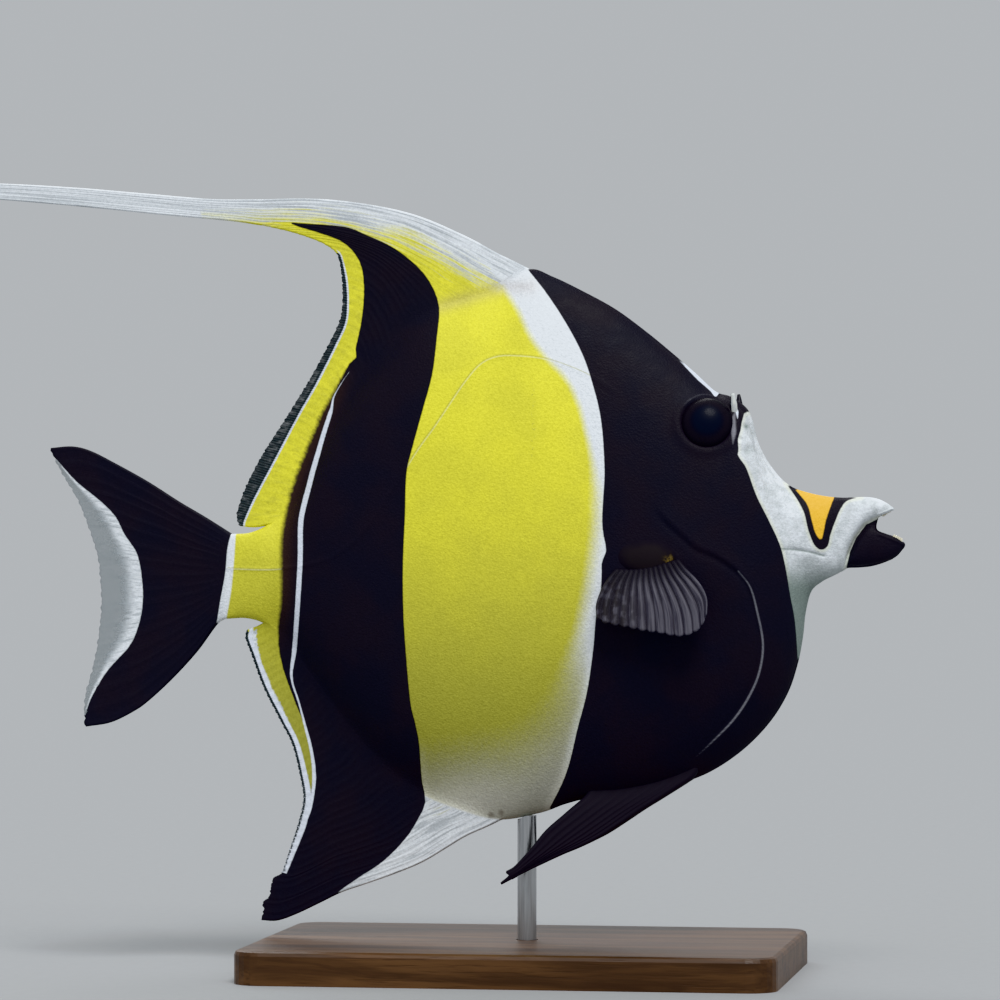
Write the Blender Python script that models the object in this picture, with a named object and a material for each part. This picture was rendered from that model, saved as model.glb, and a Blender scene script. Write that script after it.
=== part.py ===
"""Moorish idol, a life-size still model held over a plain stand by one rod.

The fish faces +X with its mid plane on Y = 0. The origin is the middle of the
stand's underside. Outlines are (x, z) points in millimetres on the mid plane,
and every mesh is scaled to metres when it is made.
"""

import math

import bmesh
import bpy
import numpy as np
from mathutils import Matrix, Vector

MM = 0.001
GAP = 0.3

# Stand
BASE_LENGTH = 112.0
BASE_WIDTH = 74.0
BASE_HEIGHT = 7.0
BASE_CORNER = 6.0
BASE_EDGE = 1.0
ROD_RADIUS = 2.0
ROD_DEPTH_IN_BASE = 4.5
ROD_TOP = 38.0

# Body, from the tail root to the tip of the upper jaw. Each row is one section:
# top point, bottom point, half width, half width of the top and bottom edge,
# how far down the widest place lies, and how round it is above and below that.
BODY_SECTIONS = [
    ((-63.0, 92.0), (-64.7, 74.0), 1.7, 1.30, 0.90, 0.50, 2.00, 2.00),
    ((-59.3, 92.3), (-60.4, 74.2), 2.6, 1.30, 1.30, 0.50, 2.00, 2.00),
    ((-55.4, 93.9), (-56.7, 73.4), 3.4, 1.40, 1.40, 0.50, 1.90, 1.90),
    ((-51.8, 96.5), (-53.5, 71.9), 4.1, 1.45, 1.45, 0.50, 1.75, 1.75),
    ((-48.5, 101.5), (-50.0, 68.1), 4.9, 1.50, 1.50, 0.50, 1.60, 1.60),
    ((-44.7, 109.1), (-46.4, 62.9), 5.8, 1.50, 1.50, 0.50, 1.50, 1.50),
    ((-40.4, 117.1), (-41.9, 56.8), 6.8, 1.55, 1.50, 0.50, 1.50, 1.50),
    ((-35.2, 124.9), (-36.9, 50.5), 7.8, 1.60, 1.50, 0.50, 1.50, 1.50),
    ((-29.2, 132.3), (-30.5, 43.6), 8.7, 1.65, 1.50, 0.50, 1.50, 1.50),
    ((-21.7, 139.0), (-21.9, 37.5), 9.6, 1.70, 1.50, 0.50, 1.50, 1.50),
    ((-13.2, 141.9), (-13.2, 34.2), 10.4, 1.70, 1.50, 0.50, 1.50, 1.50),
    ((-5.7, 144.1), (-5.1, 32.3), 11.0, 1.50, 1.40, 0.52, 1.50, 1.50),
    ((0.6, 147.5), (2.8, 33.6), 11.5, 1.00, 1.30, 0.54, 1.50, 1.50),
    ((5.5, 146.0), (8.1, 35.5), 11.8, 0.70, 1.50, 0.55, 1.50, 1.50),
    ((11.7, 143.0), (13.3, 36.8), 12.1, 0.70, 2.20, 0.55, 1.50, 1.50),
    ((18.6, 139.2), (20.7, 37.6), 12.2, 0.70, 2.60, 0.55, 1.50, 1.50),
    ((25.0, 134.5), (29.2, 39.2), 12.1, 0.80, 2.10, 0.54, 1.55, 1.45),
    ((30.6, 129.9), (37.6, 42.0), 11.8, 1.00, 1.20, 0.52, 1.65, 1.40),
    ((35.5, 125.6), (44.9, 46.7), 11.3, 1.60, 0.80, 0.48, 1.75, 1.40),
    ((39.5, 122.4), (50.8, 52.6), 10.7, 2.20, 0.70, 0.44, 1.85, 1.40),
    ((42.6, 120.8), (54.7, 58.8), 9.9, 2.60, 0.70, 0.40, 1.85, 1.40),
    ((45.3, 118.8), (56.8, 64.9), 8.9, 2.60, 0.70, 0.38, 1.85, 1.40),
    ((47.0, 116.1), (57.9, 70.5), 7.9, 2.20, 0.70, 0.37, 1.85, 1.40),
    ((48.5, 111.7), (58.5, 75.7), 7.0, 1.60, 0.70, 0.38, 1.85, 1.45),
    ((50.6, 107.7), (59.7, 80.1), 6.1, 1.30, 0.80, 0.41, 1.90, 1.55),
    ((53.1, 104.2), (62.0, 82.2), 5.4, 1.10, 0.90, 0.45, 1.95, 1.75),
    ((55.6, 101.9), (64.3, 83.4), 4.8, 1.00, 1.00, 0.48, 2.00, 1.90),
    ((58.7, 100.8), (65.8, 84.2), 4.3, 0.90, 1.10, 0.50, 2.00, 2.00),
    ((62.5, 100.0), (66.8, 85.3), 3.9, 0.90, 1.30, 0.50, 2.00, 2.00),
    ((66.2, 99.7), (67.7, 88.0), 3.6, 0.90, 1.50, 0.50, 2.00, 2.00),
    ((69.1, 99.8), (69.3, 91.5), 3.3, 0.90, 1.50, 0.50, 2.00, 2.00),
    ((71.6, 99.8), (71.4, 94.1), 3.0, 0.80, 1.30, 0.50, 2.00, 2.00),
    ((73.7, 99.4), (73.7, 95.3), 2.5, 0.70, 1.00, 0.50, 2.00, 2.00),
    ((75.6, 98.5), (75.3, 96.1), 1.7, 0.50, 0.60, 0.50, 2.00, 2.00),
    ((76.8, 97.6), (76.6, 96.9), 0.7, 0.30, 0.35, 0.50, 2.00, 2.00),
]
FLANK_POWER = 2.2
SECTIONS_PER_ROW = 1.5
POINTS_DOWN_FLANK = 16

# Lower jaw, sections from its hinge to its tip, as for the body
JAW_SECTIONS = [
    ((68.3, 88.9), (68.1, 85.6), 2.6, 1.30, 0.80, 0.50, 2.00, 2.00),
    ((69.9, 91.7), (70.0, 85.5), 2.8, 1.30, 0.80, 0.50, 2.00, 2.00),
    ((72.0, 93.8), (72.2, 85.8), 2.7, 1.20, 0.80, 0.50, 2.00, 2.00),
    ((73.4, 93.3), (73.8, 86.1), 2.5, 1.10, 0.70, 0.45, 2.00, 2.00),
    ((74.9, 92.4), (75.2, 86.5), 2.2, 1.10, 0.60, 0.42, 2.00, 2.00),
    ((76.4, 91.8), (76.8, 87.1), 1.9, 0.90, 0.50, 0.40, 2.00, 2.00),
    ((77.7, 91.2), (78.2, 88.1), 1.4, 0.70, 0.45, 0.40, 2.00, 2.00),
    ((78.7, 90.4), (79.0, 89.2), 0.65, 0.35, 0.30, 0.45, 2.00, 2.00),
]
JAW_SECTIONS_PER_ROW = 1.6

# Where the body is parted, each line from above the fish to below it
TAIL_CUT = [(-52.4, 180.0), (-52.4, 0.0)]
GILL_CUT = [
    (22.0, 180.0),
    (23.5, 134.0),
    (26.0, 112.0),
    (28.4, 98.4),
    (31.1, 94.9),
    (35.6, 90.6),
    (41.3, 88.1),
    (45.6, 84.6),
    (48.1, 81.0),
    (49.7, 76.1),
    (50.6, 69.5),
    (49.8, 63.5),
    (47.6, 58.3),
    (44.3, 53.6),
    (39.8, 48.8),
    (35.5, 43.5),
    (33.0, 36.0),
    (30.0, 0.0),
]
GILL_CUT_POINTS = 40
SNOUT_CUT = [(60.0, 180.0), (55.2, 104.6), (60.4, 79.3), (63.0, 0.0)]
UPPER_JAW_CUT = [(71.4, 180.0), (71.4, 0.0)]
BODY_BACK = -90.0
BODY_FRONT = 100.0
CUT_HALF_WIDTH = 30.0

# Eyes, their bony rims and the horns in front of them. The rim and the pit are
# given straight out from the eye's centre and turned with it to the head's slope.
EYE_CENTRE = (38.6, 5.3, 114.6)
EYE_LOOK = (0.12, 1.0, 0.30)
EYE_RADIUS = 5.45
EYE_DEPTH = 4.5
RIM_RADIUS = 6.0
RIM_THICKNESS = 0.7
RIM_OUT = 7.6
PIT_RADIUS = 5.75
PIT_FLOOR = 7.3
PIT_TOP = 14.0
HORN_PATH = [(42.8, 3.6, 113.0), (43.7, 4.8, 117.2), (44.1, 5.8, 119.8), (44.4, 6.3, 121.7)]
HORN_RADII = [1.25, 1.2, 0.85, 0.3]
NOSTRILS = [(46.4, 114.3), (45.2, 112.0)]
NOSTRIL_RADIUS = 0.5

# Gill covers, thin plates over the cheek whose rear edge stands over the gill line
GILL_COVER = [
    (27.6, 98.6),
    (30.5, 103.2),
    (36.0, 103.4),
    (43.0, 98.8),
    (48.6, 91.5),
    (52.0, 84.0),
    (53.6, 75.6),
    (53.6, 67.0),
    (51.8, 59.8),
    (47.6, 53.4),
    (42.0, 48.4),
    (39.6, 48.0),
    (43.4, 53.6),
    (46.7, 58.6),
    (48.9, 63.7),
    (49.7, 69.5),
    (48.8, 75.9),
    (47.2, 80.6),
    (44.9, 83.9),
    (40.8, 87.2),
    (35.0, 89.8),
    (30.3, 94.3),
]
GILL_COVER_POINTS = 38
GILL_COVER_THICKNESS = 0.55

# Lips and teeth
LIP_RADIUS = 0.5
UPPER_LIP = [(73.0, 2.2, 95.9), (75.0, 1.75, 96.5), (76.3, 0.9, 97.1), (76.7, 0.0, 97.2)]
LOWER_LIP = [(74.0, 2.0, 92.3), (76.3, 1.6, 91.5), (77.9, 0.95, 90.8), (78.5, 0.0, 90.4)]
LIP_POINTS = 17
LIP_END_SWELL = 0.12
TOOTH_COUNT = 8
TOOTH_ROOT_RADIUS = 0.26
TOOTH_TIP_RADIUS = 0.10
TOOTH_LENGTH = 0.95

# Pectoral fins, given for the side on +Y
LOBE_CENTRE = (26.6, 11.6, 87.3)
LOBE_RADII = (6.2, 1.9, 4.1)
PECTORAL_ROOT = [(32.4, 86.6), (29.9, 84.8), (25.4, 84.2), (21.6, 85.0)]
PECTORAL_MARGIN = [
    (38.5, 81.9),
    (40.2, 78.6),
    (39.3, 74.6),
    (35.4, 71.6),
    (30.9, 71.7),
    (24.2, 72.9),
    (18.3, 75.4),
    (17.8, 78.6),
]
PECTORAL_ROOT_OUT = 12.5
PECTORAL_TIP_OUT = 16.8
PECTORAL_RAYS = 13

# Pelvic fins, given for the side on +Y
PELVIC_ROOT = [(31.0, 41.5), (24.0, 39.6), (17.0, 38.2), (10.8, 37.2)]
PELVIC_FRONT = [
    (31.0, 41.5),
    (29.9, 38.4),
    (27.1, 36.5),
    (23.2, 33.4),
    (18.3, 30.2),
    (13.7, 27.2),
    (9.9, 25.1),
    (2.9, 21.9),
    (-2.3, 19.6),
    (-5.0, 18.8),
]
PELVIC_REAR = [
    (10.8, 37.2),
    (9.6, 34.3),
    (7.8, 32.2),
    (4.8, 29.2),
    (1.5, 25.6),
    (-2.6, 21.6),
    (-5.2, 19.6),
]
PELVIC_ROOT_OUT = 2.2
PELVIC_TIP_OUT = 7.0
PELVIC_RAYS = 6

# Dorsal fin, its filament, anal fin and tail fin
DORSAL_TOP = [
    (0.2, 148.0),
    (-2.5, 148.9),
    (-6.6, 150.9),
    (-12.5, 154.1),
    (-21.5, 158.1),
    (-29.0, 160.3),
    (-38.4, 161.9),
    (-47.0, 162.6),
    (-57.5, 162.5),
]
FILAMENT_PARTING = [(-57.5, 162.5), (-57.2, 160.0), (-56.8, 157.6)]
DORSAL_TRAILING = [
    (-56.8, 157.6),
    (-50.3, 156.1),
    (-44.4, 154.3),
    (-41.2, 152.2),
    (-39.6, 150.0),
    (-39.2, 146.7),
    (-39.4, 141.8),
    (-40.6, 135.9),
    (-43.8, 129.0),
    (-47.0, 123.3),
    (-50.7, 117.2),
    (-55.0, 110.6),
    (-59.1, 103.2),
    (-61.2, 98.4),
    (-61.9, 95.4),
    (-61.2, 92.9),
]
DORSAL_SPINES = 5
DORSAL_RAYS = 23
FILAMENT_TOP = [
    (-57.8, 162.5),
    (-68.0, 162.7),
    (-82.1, 164.0),
    (-97.1, 165.4),
    (-113.8, 166.5),
    (-132.0, 167.2),
    (-150.0, 167.0),
    (-168.0, 165.8),
]
FILAMENT_LOW = [
    (-57.1, 157.8),
    (-63.6, 158.6),
    (-78.2, 160.0),
    (-90.3, 161.3),
    (-102.4, 162.5),
    (-113.8, 163.5),
    (-132.0, 164.9),
    (-150.0, 165.5),
    (-168.0, 165.3),
]
FILAMENT_RIDGES = 3
ANAL_FRONT = [
    (-5.6, 31.7),
    (-8.1, 31.0),
    (-13.0, 28.8),
    (-17.0, 26.4),
    (-22.4, 23.2),
    (-28.6, 20.6),
    (-34.8, 18.4),
    (-39.7, 16.7),
    (-44.2, 14.5),
    (-49.2, 12.1),
    (-53.3, 10.6),
    (-56.6, 10.6),
]
ANAL_TRAILING = [
    (-56.6, 10.6),
    (-56.2, 13.2),
    (-53.7, 17.6),
    (-50.5, 25.2),
    (-48.6, 30.9),
    (-47.5, 36.0),
    (-48.2, 40.9),
    (-49.9, 47.6),
    (-52.6, 52.9),
    (-56.1, 59.7),
    (-58.7, 66.6),
    (-60.6, 70.8),
]
ANAL_RAYS = 24
CAUDAL_ROOT = [(-63.35, 92.0), (-64.0, 86.0), (-64.9, 79.5), (-65.05, 74.0)]
CAUDAL_TOP = [
    (-63.35, 92.0),
    (-68.8, 95.2),
    (-74.7, 98.6),
    (-81.6, 102.9),
    (-88.6, 106.7),
    (-94.1, 109.4),
    (-98.0, 110.3),
    (-102.4, 110.0),
]
CAUDAL_LOW = [
    (-65.05, 74.0),
    (-66.6, 73.0),
    (-70.8, 67.4),
    (-76.2, 61.6),
    (-81.6, 56.7),
    (-85.0, 54.4),
    (-89.7, 52.2),
    (-94.9, 51.3),
]
CAUDAL_TRAILING = [
    (-102.4, 110.0),
    (-100.0, 105.2),
    (-96.5, 99.4),
    (-94.1, 93.5),
    (-92.1, 87.3),
    (-91.5, 82.0),
    (-91.3, 76.4),
    (-92.1, 68.8),
    (-93.3, 63.0),
    (-94.9, 56.9),
    (-94.9, 51.3),
]
CAUDAL_RAYS = 15

# Half thickness of each fin at its root and at its edge, and how proud a ray stands
DORSAL_THICKNESS = (1.35, 0.32)
ANAL_THICKNESS = (1.30, 0.32)
CAUDAL_THICKNESS = (1.55, 0.30)
FILAMENT_THICKNESS = (0.62, 0.28)
PELVIC_THICKNESS = (0.95, 0.32)
PECTORAL_THICKNESS = (0.50, 0.28)
RAY_HEIGHT = 0.28
RAY_TIP_REACH = 0.35
RAY_SHARP = 12.0


def clear_scene():
    for found in list(bpy.data.objects):
        bpy.data.objects.remove(found, do_unlink=True)


def new_collection(name):
    made = bpy.data.collections.new(name)
    bpy.context.scene.collection.children.link(made)
    return made


clear_scene()
PARTS = new_collection("moorish_idol")
CUTTERS = new_collection("cutters")


def finish(name, colour, roughness, metallic=0.0):
    """One plain material."""
    made = bpy.data.materials.new(name)
    made.use_nodes = True
    shader = made.node_tree.nodes["Principled BSDF"]
    shader.inputs["Base Color"].default_value = (*colour, 1.0)
    shader.inputs["Roughness"].default_value = roughness
    shader.inputs["Metallic"].default_value = metallic
    return made


def solid(name, points, faces):
    """A mesh object from points in millimetres, its normals turned outward."""
    mesh = bpy.data.meshes.new(name)
    mesh.from_pydata([tuple(float(c) * MM for c in p) for p in points], [], faces)
    shape = bmesh.new()
    shape.from_mesh(mesh)
    bmesh.ops.recalc_face_normals(shape, faces=shape.faces)
    shape.to_mesh(mesh)
    shape.free()
    made = bpy.data.objects.new(name, mesh)
    CUTTERS.objects.link(made)
    return made


def applied(obj):
    """Replaces an object's mesh by the mesh that its modifiers give."""
    graph = bpy.context.evaluated_depsgraph_get()
    mesh = bpy.data.meshes.new_from_object(obj.evaluated_get(graph))
    obj.modifiers.clear()
    obj.data = mesh
    return obj


def combine(obj, others, operation):
    """Cuts, joins or crosses an object with others, which are then removed."""
    for other in others:
        step = obj.modifiers.new(operation, "BOOLEAN")
        step.object = other
        step.operation = operation
        step.solver = "EXACT"
        bpy.context.view_layer.update()
        applied(obj)
        bpy.data.objects.remove(other, do_unlink=True)
    return obj


def duplicate(obj, name):
    made = bpy.data.objects.new(name, obj.data.copy())
    CUTTERS.objects.link(made)
    return made


def keep_largest(obj):
    """Drops every loose piece but the one with the most points."""
    shape = bmesh.new()
    shape.from_mesh(obj.data)
    left = set(shape.verts)
    pieces = []
    while left:
        piece = set()
        front = [left.pop()]
        while front:
            vert = front.pop()
            piece.add(vert)
            for edge in vert.link_edges:
                other = edge.other_vert(vert)
                if other in left:
                    left.remove(other)
                    front.append(other)
        pieces.append(piece)
    pieces.sort(key=len)
    for piece in pieces[:-1]:
        bmesh.ops.delete(shape, geom=list(piece), context="VERTS")
    shape.to_mesh(obj.data)
    shape.free()
    return obj


def as_node(obj, name, material, sharp=50.0):
    """Moves a finished solid to the parts and gives it its name and finish."""
    obj.name = name
    obj.data.name = name
    for old in list(obj.users_collection):
        old.objects.unlink(obj)
    PARTS.objects.link(obj)
    obj.data.materials.clear()
    obj.data.materials.append(material)
    obj.data.shade_smooth()
    obj.data.set_sharp_from_angle(angle=math.radians(sharp))
    return obj


def even(points, count):
    """Evenly spaced points along straight runs."""
    pts = np.asarray(points, float)
    run = np.concatenate([[0], np.cumsum(np.linalg.norm(np.diff(pts, axis=0), axis=1))])
    where = np.linspace(0, run[-1], count)
    return np.stack([np.interp(where, run, pts[:, k]) for k in range(pts.shape[1])], axis=1)


def spline(points, count):
    """Evenly spaced points on a smooth curve through the given ones."""
    pts = np.asarray(points, float)
    if len(pts) == 2:
        return even(pts, count)
    ends = np.vstack([2 * pts[0] - pts[1], pts, 2 * pts[-1] - pts[-2]])
    dense = []
    for k in range(1, len(ends) - 2):
        t = np.linspace(0, 1, 24, endpoint=k == len(ends) - 3)[:, None]
        a, b, c, d = ends[k - 1 : k + 3]
        dense.append(
            0.5 * (2 * b + (c - a) * t + (2 * a - 5 * b + 4 * c - d) * t**2 + (3 * b - a - 3 * c + d) * t**3)
        )
    return even(np.vstack(dense), count)


def between_rows(values, where):
    """Catmull-Rom values at fractional row numbers."""
    rows = np.asarray(values, float)
    ends = np.vstack([2 * rows[0] - rows[1], rows, 2 * rows[-1] - rows[-2]])
    k = np.clip(np.floor(where).astype(int), 0, len(rows) - 2)
    t = (where - k)[:, None]
    a, b, c, d = (ends[k + n] for n in range(4))
    return 0.5 * (2 * b + (c - a) * t + (2 * a - 5 * b + 4 * c - d) * t**2 + (3 * b - a - 3 * c + d) * t**3)


def half_width(down, wide, top_edge, bottom_edge, widest, round_above, round_below):
    """Half width at a share of the way down a section."""
    above = down < widest
    share = np.where(above, (widest - down) / widest, (down - widest) / (1 - widest))
    roundness = np.where(above, round_above, round_below)
    bulge = (1 - np.clip(share, 0, 1) ** FLANK_POWER) ** (1 / roundness)
    edge = np.where(above, top_edge, bottom_edge)
    return edge + (wide - edge) * bulge


def row_numbers(sections, per_row):
    count = int(round((len(sections) - 1) * per_row)) + 1
    return np.linspace(0, len(sections) - 1, count)


def section_rows(sections, per_row):
    flat = [(*t, *b, *rest) for t, b, *rest in sections]
    return between_rows(flat, row_numbers(sections, per_row))


def lofted(name, sections, per_row, down_count, grow=0.0):
    """A closed skin over the sections, grown outward by a margin."""
    rows = section_rows(sections, per_row)
    down = (1 - np.cos(np.linspace(0, math.pi, down_count))) / 2
    rings = []
    for n, (tx, tz, bx, bz, wide, top_edge, bottom_edge, *bulge) in enumerate(rows):
        top = np.array([tx, tz])
        low = np.array([bx, bz])
        along = (top - low) / np.linalg.norm(top - low)
        top = top + along * grow
        low = low - along * grow
        side = half_width(down, wide + grow, top_edge + grow, bottom_edge + grow, *bulge)
        line = top + down[:, None] * (low - top)
        if grow:
            back = 1 if n == len(rows) - 1 else -1 if n == 0 else 0
            line[:, 0] += back * grow
        right = np.column_stack([line[:, 0], -side, line[:, 1]])
        left = np.column_stack([line[:, 0], side, line[:, 1]])[::-1]
        rings.append(np.vstack([right, left]))
    size = 2 * down_count
    faces = []
    for n in range(len(rings) - 1):
        for k in range(size):
            m = (k + 1) % size
            faces.append((n * size + k, n * size + m, (n + 1) * size + m, (n + 1) * size + k))
    for n in (0, len(rings) - 1):
        for k in range(down_count - 1):
            far = size - 1 - k
            faces.append((n * size + k, n * size + k + 1, n * size + far - 1, n * size + far))
    return solid(name, np.vstack(rings), faces)


def surface_out(x, z):
    """Half width of the body at a place on its side."""
    rows = section_rows(BODY_SECTIONS, 12)
    down = np.linspace(0, 1, 200)
    best = (1e9, 0.0)
    for tx, tz, bx, bz, *shape in rows:
        line_x = tx + down * (bx - tx)
        line_z = tz + down * (bz - tz)
        far = np.hypot(line_x - x, line_z - z)
        k = int(far.argmin())
        if far[k] < best[0]:
            best = (far[k], float(half_width(down[k], *shape)))
    return best[1]


def offset_line(points, distance):
    """A line shifted sideways, to +X for one that runs downward."""
    pts = np.asarray(points, float)
    step = np.gradient(pts, axis=0)
    step /= np.linalg.norm(step, axis=1)[:, None]
    return pts + distance * np.column_stack([-step[:, 1], step[:, 0]])


def region(name, back_line, front_line):
    """A prism across the fish between two parting lines."""
    back = offset_line(back_line, GAP / 2)
    front = offset_line(front_line, -GAP / 2)
    return prism(name, np.vstack([back, front[::-1]]), -CUT_HALF_WIDTH, CUT_HALF_WIDTH)


def prism(name, outline, start, end):
    """An outline in the mid plane carried across in Y."""
    count = len(outline)
    points = [(x, start, z) for x, z in outline] + [(x, end, z) for x, z in outline]
    faces = [tuple(range(count)), tuple(range(2 * count - 1, count - 1, -1))]
    for k in range(count):
        m = (k + 1) % count
        faces.append((k, m, m + count, k + count))
    return solid(name, points, faces)


def patch(root, edge, front, rear):
    """A grid of (x, z) points filling four border lines (a Coons patch)."""
    across = np.linspace(0, 1, len(root))[None, :, None]
    out = np.linspace(0, 1, len(front))[:, None, None]
    ruled = (1 - out) * root[None] + out * edge[None]
    sides = (1 - across) * front[:, None] + across * rear[:, None]
    corners = (
        (1 - out) * (1 - across) * root[0]
        + (1 - out) * across * root[-1]
        + out * (1 - across) * edge[0]
        + out * across * edge[-1]
    )
    return ruled + sides - corners


def fin(name, grid, thickness, outward, ray_height=RAY_HEIGHT, tip_reach=RAY_TIP_REACH):
    """A closed fin over a grid, its odd columns raised as rays on both faces.

    outward(share) gives the middle of the fin in Y at each row, and both faces
    are split into triangles the same way.
    """
    rows, columns = grid.shape[:2]
    share = np.linspace(0, 1, rows)
    half = thickness[0] + (thickness[1] - thickness[0]) * share**0.6
    ray = (np.arange(columns) % 2 == 1).astype(float)
    rise = np.minimum(1.0, share * 4 + 0.25)[:, None] * ray[None] * ray_height
    grid = grid.copy()
    reach = grid[-1] - grid[-2]
    reach /= np.maximum(np.linalg.norm(reach, axis=1), 1e-6)[:, None]
    grid[-1] += reach * (ray * tip_reach)[:, None]
    middle = outward(share)[:, None] + np.zeros((1, columns))
    thick = half[:, None] + rise
    near = np.dstack([grid[..., 0], middle - thick, grid[..., 1]]).reshape(-1, 3)
    far = np.dstack([grid[..., 0], middle + thick, grid[..., 1]]).reshape(-1, 3)
    count = rows * columns
    faces = []
    for i in range(rows - 1):
        for j in range(columns - 1):
            a = i * columns + j
            b, c, d = a + 1, a + columns + 1, a + columns
            pairs = [(a, b, c), (a, c, d)] if j % 2 == 0 else [(a, b, d), (b, c, d)]
            for p, q, r in pairs:
                faces.append((p, q, r))
                faces.append((count + p, count + r, count + q))
    border = (
        [j for j in range(columns - 1)]
        + [i * columns + columns - 1 for i in range(rows - 1)]
        + [(rows - 1) * columns + j for j in range(columns - 1, 0, -1)]
        + [i * columns for i in range(rows - 1, 0, -1)]
    )
    for k, p in enumerate(border):
        q = border[(k + 1) % len(border)]
        faces.append((p, p + count, q + count, q))
    return solid(name, np.vstack([near, far]), faces)


def ellipsoid(name, centre, radii, across=20, down=12):
    shape = bmesh.new()
    bmesh.ops.create_uvsphere(shape, u_segments=across, v_segments=down, radius=MM)
    turn = Matrix.Rotation(math.pi / 2, 4, "X")
    size = Matrix.Diagonal((*radii, 1.0))
    shape.transform(Matrix.Translation(Vector(centre) * MM) @ size @ turn)
    mesh = bpy.data.meshes.new(name)
    shape.to_mesh(mesh)
    shape.free()
    made = bpy.data.objects.new(name, mesh)
    CUTTERS.objects.link(made)
    return made


def cone(name, start, end, start_radius, end_radius, sides=16):
    """A closed cylinder or cone from one point to another."""
    a, b = Vector(start) * MM, Vector(end) * MM
    shape = bmesh.new()
    bmesh.ops.create_cone(
        shape,
        cap_ends=True,
        segments=sides,
        radius1=start_radius * MM,
        radius2=end_radius * MM,
        depth=(b - a).length,
    )
    turn = Vector((0, 0, 1)).rotation_difference(b - a).to_matrix().to_4x4()
    shape.transform(Matrix.Translation((a + b) / 2) @ turn)
    mesh = bpy.data.meshes.new(name)
    shape.to_mesh(mesh)
    shape.free()
    made = bpy.data.objects.new(name, mesh)
    CUTTERS.objects.link(made)
    return made


def tube(name, points, radii, bevel=2):
    """A round tapered rod along a smooth path, as a closed mesh."""
    line = bpy.data.curves.new(name, "CURVE")
    line.dimensions = "3D"
    line.bevel_depth = MM
    line.bevel_resolution = bevel
    line.use_fill_caps = True
    run = line.splines.new("POLY")
    run.points.add(len(points) - 1)
    for spot, place, radius in zip(run.points, points, radii):
        spot.co = (*(c * MM for c in place), 1.0)
        spot.radius = radius
    curve = bpy.data.objects.new(name, line)
    CUTTERS.objects.link(curve)
    bpy.context.view_layer.update()
    graph = bpy.context.evaluated_depsgraph_get()
    mesh = bpy.data.meshes.new_from_object(curve.evaluated_get(graph))
    shape = bmesh.new()
    shape.from_mesh(mesh)
    bmesh.ops.remove_doubles(shape, verts=shape.verts, dist=1e-6)
    bmesh.ops.recalc_face_normals(shape, faces=shape.faces)
    shape.to_mesh(mesh)
    shape.free()
    made = bpy.data.objects.new(name, mesh)
    made.matrix_world = curve.matrix_world
    CUTTERS.objects.link(made)
    bpy.data.objects.remove(curve, do_unlink=True)
    return made


def mirrored(points):
    return [(x, -y, z) for x, y, z in points]


def grown_body(name):
    return lofted(name, BODY_SECTIONS, SECTIONS_PER_ROW, POINTS_DOWN_FLANK, GAP)


def body_edge(front_row, back_row, top, away):
    """The body's upper or lower edge between two sections, moved outward."""
    numbers = row_numbers(BODY_SECTIONS, SECTIONS_PER_ROW)
    rows = section_rows(BODY_SECTIONS, SECTIONS_PER_ROW)
    rows = rows[(numbers > back_row - 0.5) & (numbers < front_row + 0.5)][::-1]
    edge = rows[:, 0:2] if top else rows[:, 2:4]
    other = rows[:, 2:4] if top else rows[:, 0:2]
    step = np.gradient(edge, axis=0)
    normal = np.column_stack([-step[:, 1], step[:, 0]])
    normal /= np.linalg.norm(normal, axis=1)[:, None]
    side = np.sign(np.sum(normal * (edge - other), axis=1))[:, None]
    return edge + normal * side * away


def turned_with_eye(obj, side):
    """Turns a shape made straight out from the eye so that it looks where the eye does."""
    centre = Vector((EYE_CENTRE[0], side * EYE_CENTRE[1], EYE_CENTRE[2])) * MM
    look = Vector((EYE_LOOK[0], side * EYE_LOOK[1], EYE_LOOK[2]))
    turn = Vector((0, side, 0)).rotation_difference(look).to_matrix().to_4x4()
    obj.data.transform(Matrix.Translation(centre) @ turn @ Matrix.Translation(-centre))
    return obj


def eye_rim(name, side, thickness=RIM_THICKNESS):
    """The bony rim round one eye."""
    bpy.ops.mesh.primitive_torus_add(
        major_segments=24,
        minor_segments=6,
        major_radius=RIM_RADIUS * MM,
        minor_radius=thickness * MM,
        location=(EYE_CENTRE[0] * MM, side * RIM_OUT * MM, EYE_CENTRE[2] * MM),
        rotation=(math.pi / 2, 0, 0),
    )
    made = bpy.context.active_object
    made.name = name
    bpy.ops.object.transform_apply(location=True, rotation=True, scale=True)
    for old in list(made.users_collection):
        old.objects.unlink(made)
    CUTTERS.objects.link(made)
    return turned_with_eye(made, side)


black = finish("black_skin", (0.012, 0.010, 0.016), 0.55)
yellow = finish("yellow_skin", (0.85, 0.76, 0.05), 0.55)
white = finish("white_skin", (0.78, 0.80, 0.80), 0.50)
smoky = finish("smoky_fin", (0.12, 0.11, 0.13), 0.45)
glossy = finish("eye_gloss", (0.006, 0.007, 0.015), 0.08)
bony = finish("horn_bone", (0.55, 0.55, 0.56), 0.40)
wood = finish("stand_wood", (0.16, 0.085, 0.045), 0.45)
steel = finish("rod_steel", (0.62, 0.62, 0.60), 0.28, 1.0)


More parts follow.
